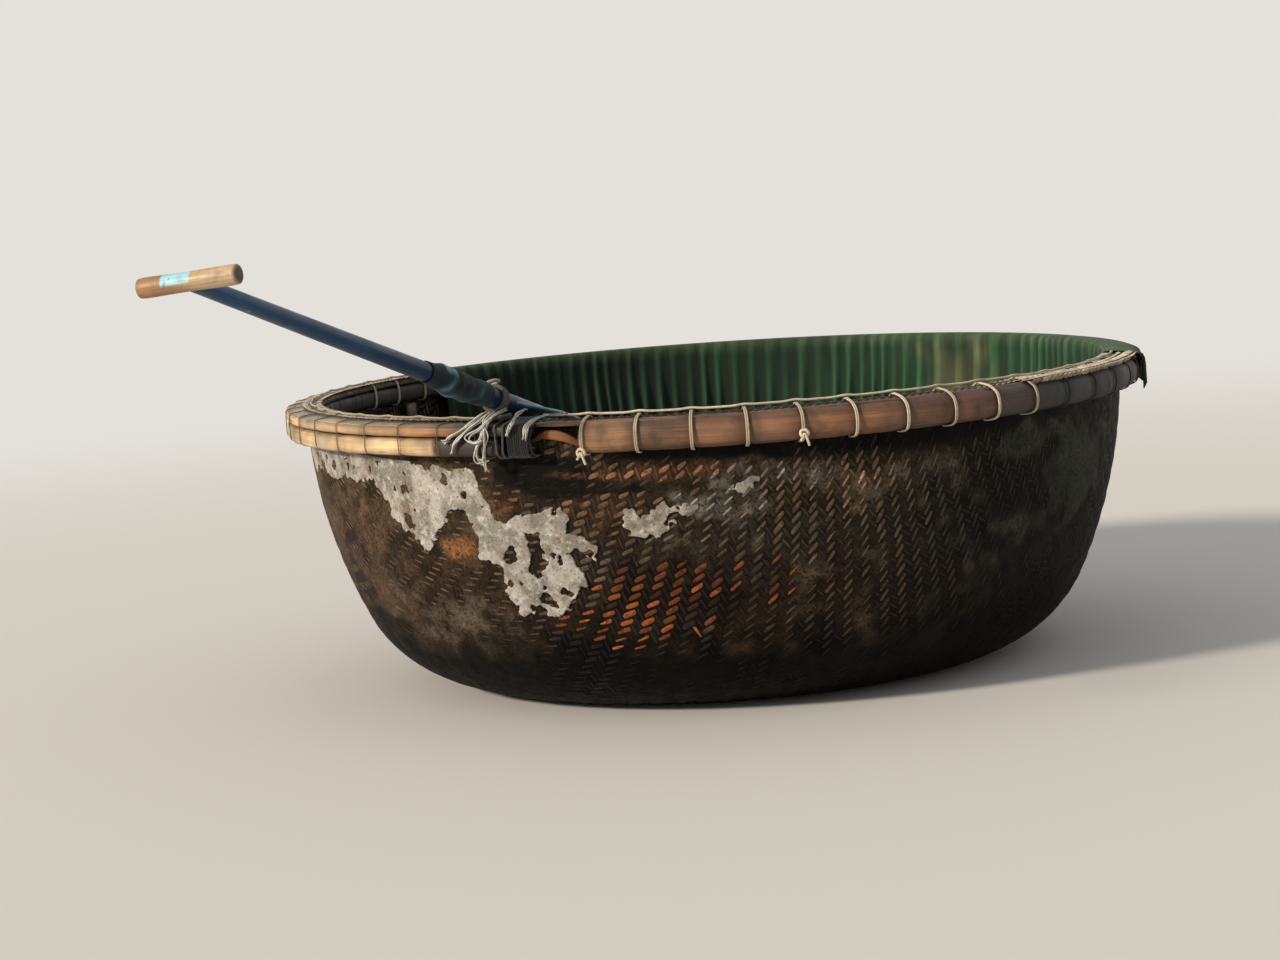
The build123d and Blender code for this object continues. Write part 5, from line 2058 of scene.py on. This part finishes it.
@dataclass(frozen=True)
class Oar:
    """The oar tied over the rim: shaft, blade, cross grip, cloth wrap, rope seizing and pad."""

    frame: OarFrame
    outboard: float = 1.240
    inboard: float = 0.950
    grip_r: float = 0.0175
    tie_r: float = 0.024
    spine_end: float = 0.700
    spine_end_r: float = 0.008
    blade_start: float = 0.060
    shoulder: float = 0.230
    blade_w: float = 0.136
    blade_t: float = 0.015
    grip_d: float = 0.040
    grip_l: float = 0.225
    socket: float = 0.012
    wrap_start: float = -0.330
    wrap_end: float = -0.045
    wrap_t: float = 0.0012
    rope_r: float = 0.0044
    navy: str = "#0C3C60"
    navy_dark: str = "#06141F"
    sky_highlight_blue: str = "#B4E4F2"
    teal: str = "#1E4650"
    teal_highlight: str = "#8CC4CE"
    teal_crease_shade: str = "#0C1B20"
    wood: str = "#9A7350"
    wood_light: str = "#C8AC88"
    end_grain_and_shade: str = "#2A1D14"
    sky: str = "#A4D8E0"

    def radius(self, station: Array) -> Array:
        """The shaft's radius at a station."""
        stations = [-self.outboard, 0, self.shoulder, self.spine_end]
        return np.interp(station, stations, [self.grip_r, self.tie_r, self.tie_r, self.spine_end_r])

    @staticmethod
    def sky_highlight(station: Array) -> Array:
        """How much painted sky highlight the paint takes where the oar crosses the rim, by station."""
        return 0.8 * smooth(0.14, 0.20, station) * smooth(0.34, 0.26, station)

    def shaft(self) -> Draft:
        """The tapered shaft and the spine that it becomes on the blade."""
        count, sides = 130, 20
        stations = np.linspace(-self.outboard - self.grip_d / 2 + self.socket, self.spine_end, count)
        angle = np.arange(sides) / sides * TAU
        radius = self.radius(stations)[:, None] - 0.0002
        bow = cloud(stacked(stations, 0.0, 0.0), 0.5, 71, 1)[:, None] * 0.0006
        flat = stacked(stations[:, None], radius * np.cos(angle) + bow, radius * np.sin(angle)).reshape(-1, 3)
        tint = mixed(self.navy, self.navy_dark, smooth(-0.75, -0.30, flat[:, 0]) * 0.55)
        # Painted highlight: the sky's reflection where the oar crosses the rim.
        tint = mixed(tint, self.sky_highlight_blue, self.sky_highlight(flat[:, 0]))
        tint = tint * (1 + 0.22 * cloud(flat, 0.12, 72)[:, None])
        rings = self.frame.place(flat).reshape(count, sides, 3)
        return sleeve(rings, stations, angle * 0.02, np.clip(tint, 0.003, 1))

    def blade(self) -> Draft:
        """The blade: lens-shaped across, narrow at the neck and rounded at the tip."""
        stations = np.concatenate([
            np.linspace(self.blade_start, self.shoulder, 12),
            np.linspace(self.shoulder, self.inboard - 0.05, 24)[1:],
            self.inboard - 0.05 + 0.05 * np.sin(np.linspace(0, math.pi / 2, 9))[1:],
        ])
        neck = self.tie_r + 0.004
        width = neck + (self.blade_w / 2 - neck) * smooth(self.blade_start, self.shoulder, stations)
        tip = np.clip((stations - (self.inboard - 0.05)) / 0.05, 0, 1)
        width = width * np.sqrt(np.maximum(1 - 0.86 * tip**3, 0.01))
        thick = self.blade_t / 2 * (1 - 0.35 * smooth(self.shoulder, self.inboard, stations))
        sides = 24
        angle = np.arange(sides) / sides * TAU
        c, s = np.cos(angle), np.sin(angle)
        beside = width[:, None] * c
        off = thick[:, None] * (np.sign(s) * np.abs(s) ** 0.7)
        flat = stacked(stations[:, None], beside, off).reshape(-1, 3)
        edge = np.abs(np.tile(c, len(stations))) ** 8
        # Pale worn edges, lightened as painted highlight too, and the painted sky highlight where the oar
        # crosses the rim.
        worn = np.clip(0.06 + 0.3 * edge + self.sky_highlight(flat[:, 0]), 0, 0.85)
        tint = mixed(self.navy, self.sky_highlight_blue, worn) * (1 + 0.2 * cloud(flat, 0.1, 73)[:, None])
        return sleeve(self.frame.place(flat).reshape(-1, sides, 3), stations, beside, tint)

    def grip(self) -> Draft:
        """The cross grip: a hand-worn round bar with a blank pale-blue painted patch."""
        count, sides = 64, 24
        across = np.linspace(-self.grip_l / 2, self.grip_l / 2, count)
        share = np.abs(across) / (self.grip_l / 2)
        end = np.sqrt(np.maximum(1 - ((share - 0.955).clip(0) / 0.045) ** 2 * 0.55, 0))
        worn = 1 - 0.03 * np.cos(share * math.pi) * (share < 0.9)
        radius = (self.grip_d / 2 * end * worn * 0.985)[:, None]
        angle = np.arange(sides) / sides * TAU
        off = radius * np.sin(angle)
        flat = stacked(-self.outboard + radius * np.cos(angle), across[:, None], off).reshape(-1, 3)
        place = flat[:, 1] / (self.grip_l / 2)
        tint = mixed(self.wood, self.wood_light, smooth(0.6, -0.8, place))
        tint = tint * (1 + 0.2 * cloud(flat, 0.05, 74)[:, None])
        # The ends are near black: end grain, darkened further as painted shade.
        tint = mixed(tint, self.end_grain_and_shade, 0.9 * smooth(0.96, 1.0, np.abs(place)))
        facing = np.abs(apart(np.degrees(np.tile(angle, count)), 135)) < 70
        patch = facing & (flat[:, 1] > -0.012) & (flat[:, 1] < 0.052)
        rubbed = cloud(flat, 0.012, 75) > 0.62
        tint = np.where((patch & ~rubbed)[:, None], linear(self.sky), tint)
        return sleeve(self.frame.place(flat).reshape(count, sides, 3), across, angle * 0.02, tint)

    def wrap(self) -> Piece:
        """The cloth wound round the shaft beside the tie, bunched and creased."""
        count, sides = 120, 48
        stations = np.linspace(self.wrap_start, self.wrap_end, count)
        angle = np.arange(sides) / sides * TAU
        flat_x, flat_a = np.meshgrid(stations, angle, indexing="ij")
        share = np.linspace(0, 1, count)
        bunch = np.sin(np.clip(0.06 + share * 0.94, 0, 1) * math.pi) ** 0.5
        puff = 0.0115 * bunch * (0.3 + 0.7 * smooth(0.1, 0.3, share))
        twist = flat_a + flat_x / 0.045
        ridge = (0.5 + 0.5 * np.sin(2 * twist + 1.4 * np.sin(flat_x / 0.019))) ** 1.5
        space = stacked(flat_x, 0.03 * np.cos(flat_a), 0.03 * np.sin(flat_a)).reshape(-1, 3)
        crease = cloud(space, 0.035, 81, 4).reshape(count, sides)
        folds = np.clip(0.42 + 0.40 * ridge + 0.42 * crease, 0, 1.2)
        radius = self.radius(stations)[:, None] + 0.0008 + puff[:, None] * folds
        rings = stacked(flat_x, radius * np.cos(flat_a), radius * np.sin(flat_a)).reshape(-1, 3)
        grain = stacked(flat_x.ravel() + 0.02 * flat_a.ravel(), flat_a.ravel() * 0.028)
        # Painted light and shade: lit ridges, dark creases, and a painted highlight on the upper side near
        # the start.
        light = np.clip(0.15 + 0.55 * ridge + 0.5 * crease, 0, 1).ravel() ** 1.6
        start = smooth(-0.225, -0.245, rings[:, 0]) * smooth(-0.275, -0.262, rings[:, 0])
        start = start * smooth(0.0, 0.018, rings[:, 2])
        tint = mixed(self.teal_crease_shade, self.teal, np.clip(light * 1.2, 0, 1))
        tint = mixed(tint, self.teal_highlight, np.clip(0.5 * light**3 + 0.85 * start, 0, 0.9))
        tint = mixed(tint, self.navy_dark, 0.9 * smooth(-0.262, -0.285, rings[:, 0]))
        draft = Draft(self.frame.place(rings), grid_faces(count, sides, False, True).tolist(), grain, tint)
        return thickened(draft.build("oar_wrap_cloth", NetCloth(Cloth.WRAP).material()), self.wrap_t)

    def seizing(self) -> Draft:
        """The rope turns seized round the shaft, with a bight that stands up over them."""
        radius = self.tie_r + 0.0003 + 0.0045
        angle = np.linspace(0, TAU, 61)[:-1]
        drafts = []
        for number in range(3):
            local = stacked(
                (number - 1) * 0.0093 + 0.0012 * np.sin(angle + number),
                radius * np.cos(angle),
                radius * np.sin(angle),
            )
            drafts.append(laid_rope(self.frame.place(local), self.rope_r, 10, 0.0302, True))
        bight = np.array([
            (-0.012, 0.026, 0.022), (-0.020, 0.014, 0.034), (-0.012, -0.002, 0.041), (0.004, -0.010, 0.042),
            (0.014, 0.004, 0.040), (0.010, 0.018, 0.034), (0.004, 0.028, 0.024),
        ])
        ropes = [Yarn.GREY.dyed(draft) for draft in drafts]
        loop = laid_rope(spline_points(self.frame.place(bight)), self.rope_r, 10, 0.022)
        return joined([*ropes, Yarn.FRAYED.dyed(loop, 2, 0.45)])

    def pad(self) -> Draft:
        """The rope ring that the shaft rests on."""
        low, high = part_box("oar_pad")
        middle = (low + high) / 2
        angle = np.linspace(0, 360, 61)[:-1]
        ring = on_circle(angle, (high.x - low.x) / 2 - 0.0045, middle.z) + np.array([middle.x, middle.y, 0.0])
        return Yarn.GREY.dyed(laid_rope(ring, self.rope_r, 10, 0.0325, True))

    def build(self) -> None:
        """Make and dress the oar."""
        enamel = WornPaint().material()
        settle(self.shaft().build("oar_shaft_painted", enamel), "blue_paint", "oar_shaft", body=OAR_BODY)
        settle(self.blade().build("oar_blade_painted", enamel), "blue_paint", "oar_blade", body=OAR_BODY)
        bare = HandledWood().material()
        settle(self.grip().build("oar_grip_wood", bare), "grip_wood", "oar_grip", body=OAR_BODY)
        wrap = self.wrap()
        settle(wrap, "teal_cloth", "oar_wrap", body=OAR_BODY)
        rope = LaidCord(Yarn.GREY).material()
        settle(self.seizing().build("oar_seizing_rope", rope), "cord", "oar_seizing", body=OAR_BODY)
        settle(self.pad().build("oar_pad_rope", rope), "dark_cord", "oar_pad", body=TIE_BODY)


@dataclass(frozen=True)
class TieRope:
    """The rope that holds the oar to the rim: greyed turns round the rim and frayed strands over them.

    Args:
        turns: The azimuths of its turns.
        strands: Routes of the frayed strands, as azimuth, radius beyond the hoop and height.
        hairs: How many thin yarns make up a strand.
    """

    rim: Rim
    turns: tuple[float, ...] = (244.9, 246.3, 247.7, 249.1)
    diameter: float = 0.0062
    strands: tuple[tuple[tuple[float, float, float], ...], ...] = (
        ((247.6, -0.044, 0.764), (246.6, -0.018, 0.757), (245.8, 0.012, 0.742), (244.4, 0.012, 0.724),
         (242.8, 0.010, 0.706), (241.8, 0.009, 0.688), (241.7, 0.007, 0.672)),
        ((246.6, -0.044, 0.764), (245.9, -0.018, 0.757), (245.0, 0.011, 0.741), (243.4, 0.010, 0.722),
         (241.8, 0.010, 0.708), (240.9, 0.008, 0.700), (240.4, 0.006, 0.696)),
        ((248.4, -0.044, 0.764), (247.8, -0.016, 0.758), (247.0, 0.015, 0.742), (246.2, 0.016, 0.724),
         (244.7, 0.014, 0.716), (244.3, 0.013, 0.700), (245.4, 0.015, 0.692), (246.6, 0.017, 0.702)),
        ((248.0, -0.044, 0.764), (247.4, -0.018, 0.758), (246.9, 0.013, 0.740), (246.2, 0.015, 0.712),
         (245.4, 0.014, 0.684), (245.0, 0.010, 0.662), (245.9, 0.007, 0.646), (246.6, 0.006, 0.652)),
        ((247.0, -0.044, 0.764), (246.7, -0.018, 0.758), (246.6, 0.014, 0.738), (246.9, 0.016, 0.706),
         (246.6, 0.014, 0.676), (246.0, 0.009, 0.650), (246.5, 0.004, 0.630)),
        ((251.2, -0.040, 0.764), (250.9, -0.012, 0.756), (250.6, 0.010, 0.742), (250.0, 0.012, 0.726),
         (249.7, 0.011, 0.712)),
        ((252.0, 0.008, 0.704), (252.1, 0.010, 0.724), (252.6, 0.006, 0.743), (254.2, -0.024, 0.755),
         (256.4, -0.050, 0.754)),
    )
    hairs: int = 4

    def build(self) -> None:
        """Make and dress the tie rope."""
        line = self.rim.outline(0.0034, False, 0.003)
        share = np.linspace(-1, 1, len(line))
        drafts = []
        for number, azimuth in enumerate(self.turns):
            lean = 0.5 if number % 2 else -0.5
            path = on_circle(azimuth + lean * share, line[:, 0], line[:, 2])
            drafts.append(Yarn.GREY.dyed(laid_rope(path, self.diameter / 2, 9, 0.022), number))
        rope = joined(drafts).build("oar_tie_rope_laid", LaidCord(Yarn.GREY).material())
        settle(rope, "cord", "oar_tie_rope")
        yarns = []
        for number, route in enumerate(self.strands):
            spots = np.array(route)
            path = on_circle(spots[:, 0], self.rim.sizes.outer_r + spots[:, 1], spots[:, 2])
            for hair in range(self.hairs):
                rng = np.random.default_rng(90 + number * self.hairs + hair)
                stray = rng.normal(0, 0.0030, path.shape) + rng.normal(0, 0.0016, 3)
                yarn = laid_rope(spline_points(path + stray), 0.0019, 6, 0.014)
                yarns.append(Yarn.FRAYED.dyed(yarn, hair))
        frayed = joined(yarns).build("oar_tie_frayed_ends", LaidCord(Yarn.FRAYED).material())
        settle(frayed, "cord")


# Light, floor and camera


@dataclass(frozen=True)
class Studio:
    """The plain pale floor, soft light from the left, and the photograph's viewpoint."""

    eye: tuple[float, float, float] = (0.6127, -7.4963, 1.3505)
    forward: tuple[float, float, float] = (-0.00603, 0.99814, -0.06068)
    up: tuple[float, float, float] = (0.06337, 0.06094, 0.99613)
    aim_px: tuple[float, float] = (517.0, 558.0)
    image_px: tuple[float, float] = (1280.0, 960.0)
    photo_focal_px: float = 1250.0
    object_share: float = 0.80
    object_px: float = 440.0
    sensor_mm: float = 36.0
    toward_sun: tuple[float, float, float] = (-0.730, -0.550, 0.407)
    sun_strength: float = 3.5
    sun_spread: float = 8.0
    sky: str = "#F2F3F5"
    sky_strength: float = 0.50
    sun: str = "#FFF3E2"
    floor_colour: str = "#DCD9D3"
    floor_half: float = 60.0
    backdrop: str = "#E4E1DB"
    fade: tuple[float, float] = (3.0, 9.0)

    def camera(self) -> None:
        """Stand where the photographer stood and frame the boat more closely."""
        data = bpy.data.cameras.new("camera")
        made = linked("camera", data)
        forward, up = Vector(self.forward).normalized(), Vector(self.up).normalized()
        right = forward.cross(up)
        across = (self.aim_px[0] - self.image_px[0] / 2) / self.photo_focal_px
        down = (self.aim_px[1] - self.image_px[1] / 2) / self.photo_focal_px
        ahead = (forward + right * across - up * down).normalized()
        side = ahead.cross(up).normalized()
        turned = Matrix((side, side.cross(ahead), -ahead)).transposed().to_4x4()
        made.matrix_world = Matrix.Translation(self.eye) @ turned
        data.sensor_width = self.sensor_mm
        data.lens = self.photo_focal_px * self.object_share / self.object_px * self.sensor_mm
        data.clip_end = 200
        bpy.context.scene.camera = made

    def floor(self) -> None:
        """A wide pale floor that fades into the backdrop's colour with distance."""
        points = np.array([(-1, -1, 0), (1, -1, 0), (1, 1, 0), (-1, 1, 0)]) * self.floor_half
        surface = Surface("studio floor", {"Base Color": rgba(self.floor_colour), "Roughness": 0.85})
        place = add_node(surface.tree, "ShaderNodeTexCoord")
        far = add_node(surface.tree, "ShaderNodeVectorMath", {0: place.outputs["Object"]}, operation="LENGTH")
        ends = {"Value": far.outputs["Value"], "From Min": self.fade[0], "From Max": self.fade[1]}
        share = add_node(surface.tree, "ShaderNodeMapRange", ends, interpolation_type="SMOOTHSTEP")
        clear = add_node(surface.tree, "ShaderNodeBsdfTransparent")
        inputs = {0: share.outputs["Result"], 1: surface.shader.outputs["BSDF"], 2: clear.outputs["BSDF"]}
        blended = add_node(surface.tree, "ShaderNodeMixShader", inputs)
        output = next(n for n in surface.tree.nodes if n.type == "OUTPUT_MATERIAL")
        surface.tree.links.new(blended.outputs["Shader"], output.inputs["Surface"])
        Draft(points, [(0, 1, 2, 3)]).build("floor", surface.material, False)

    def world(self) -> None:
        """Soft light all round, and the backdrop's own colour where the camera or a gloss sees past it."""
        world = bpy.data.worlds.new("studio")
        bpy.context.scene.world = world
        world.use_nodes = True
        tree = world.node_tree
        tree.nodes.clear()
        path = add_node(tree, "ShaderNodeLightPath")
        seen: Socket = path.outputs["Is Camera Ray"]
        for ray in ("Is Glossy Ray", "Is Transmission Ray"):
            inputs: Inputs = {0: seen, 1: path.outputs[ray]}
            seen = add_node(tree, "ShaderNodeMath", inputs, operation="MAXIMUM").outputs[0]
        inputs = {"Color": rgba(self.sky), "Strength": self.sky_strength}
        plain = add_node(tree, "ShaderNodeBackground", inputs)
        shown = add_node(tree, "ShaderNodeBackground", {"Color": rgba(self.backdrop), "Strength": 1.0})
        inputs = {0: seen, 1: plain.outputs[0], 2: shown.outputs[0]}
        mixed_light = add_node(tree, "ShaderNodeMixShader", inputs)
        add_node(tree, "ShaderNodeOutputWorld", {"Surface": mixed_light.outputs[0]})

    def lamps(self) -> None:
        """A soft low sun from the left and a little from the viewer's side."""
        data = bpy.data.lights.new("sun", "SUN")
        data.energy = self.sun_strength
        data.angle = math.radians(self.sun_spread)
        data.color = tuple(linear(self.sun))
        linked("sun", data).rotation_euler = (-Vector(self.toward_sun)).to_track_quat("-Z", "Y").to_euler()

    def build(self) -> None:
        """Set up the stage."""
        self.camera()
        self.floor()
        self.world()
        self.lamps()
        bpy.context.scene.view_settings.view_transform = "Standard"


def main() -> None:
    """Load the frame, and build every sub-assembly in order."""
    logging.basicConfig(level=logging.INFO, format="%(message)s")
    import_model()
    hull_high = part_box("hull_basket")[1]
    bowl = Bowl(rim_r=hull_high.x, top=hull_high.z)
    sizes = RimSizes.measured(bowl)
    Studio().build()
    Hull(bowl).build()
    Coat(bowl).build()
    Ribs(bowl).build()
    rim = Rim(sizes)
    rim.build()
    Lining(sizes).build()
    Oar(OarFrame(Vector((-0.41417, -0.97574, 0.79020)))).build()
    TieRope(rim).build()


if __name__ == "__main__":
    main()
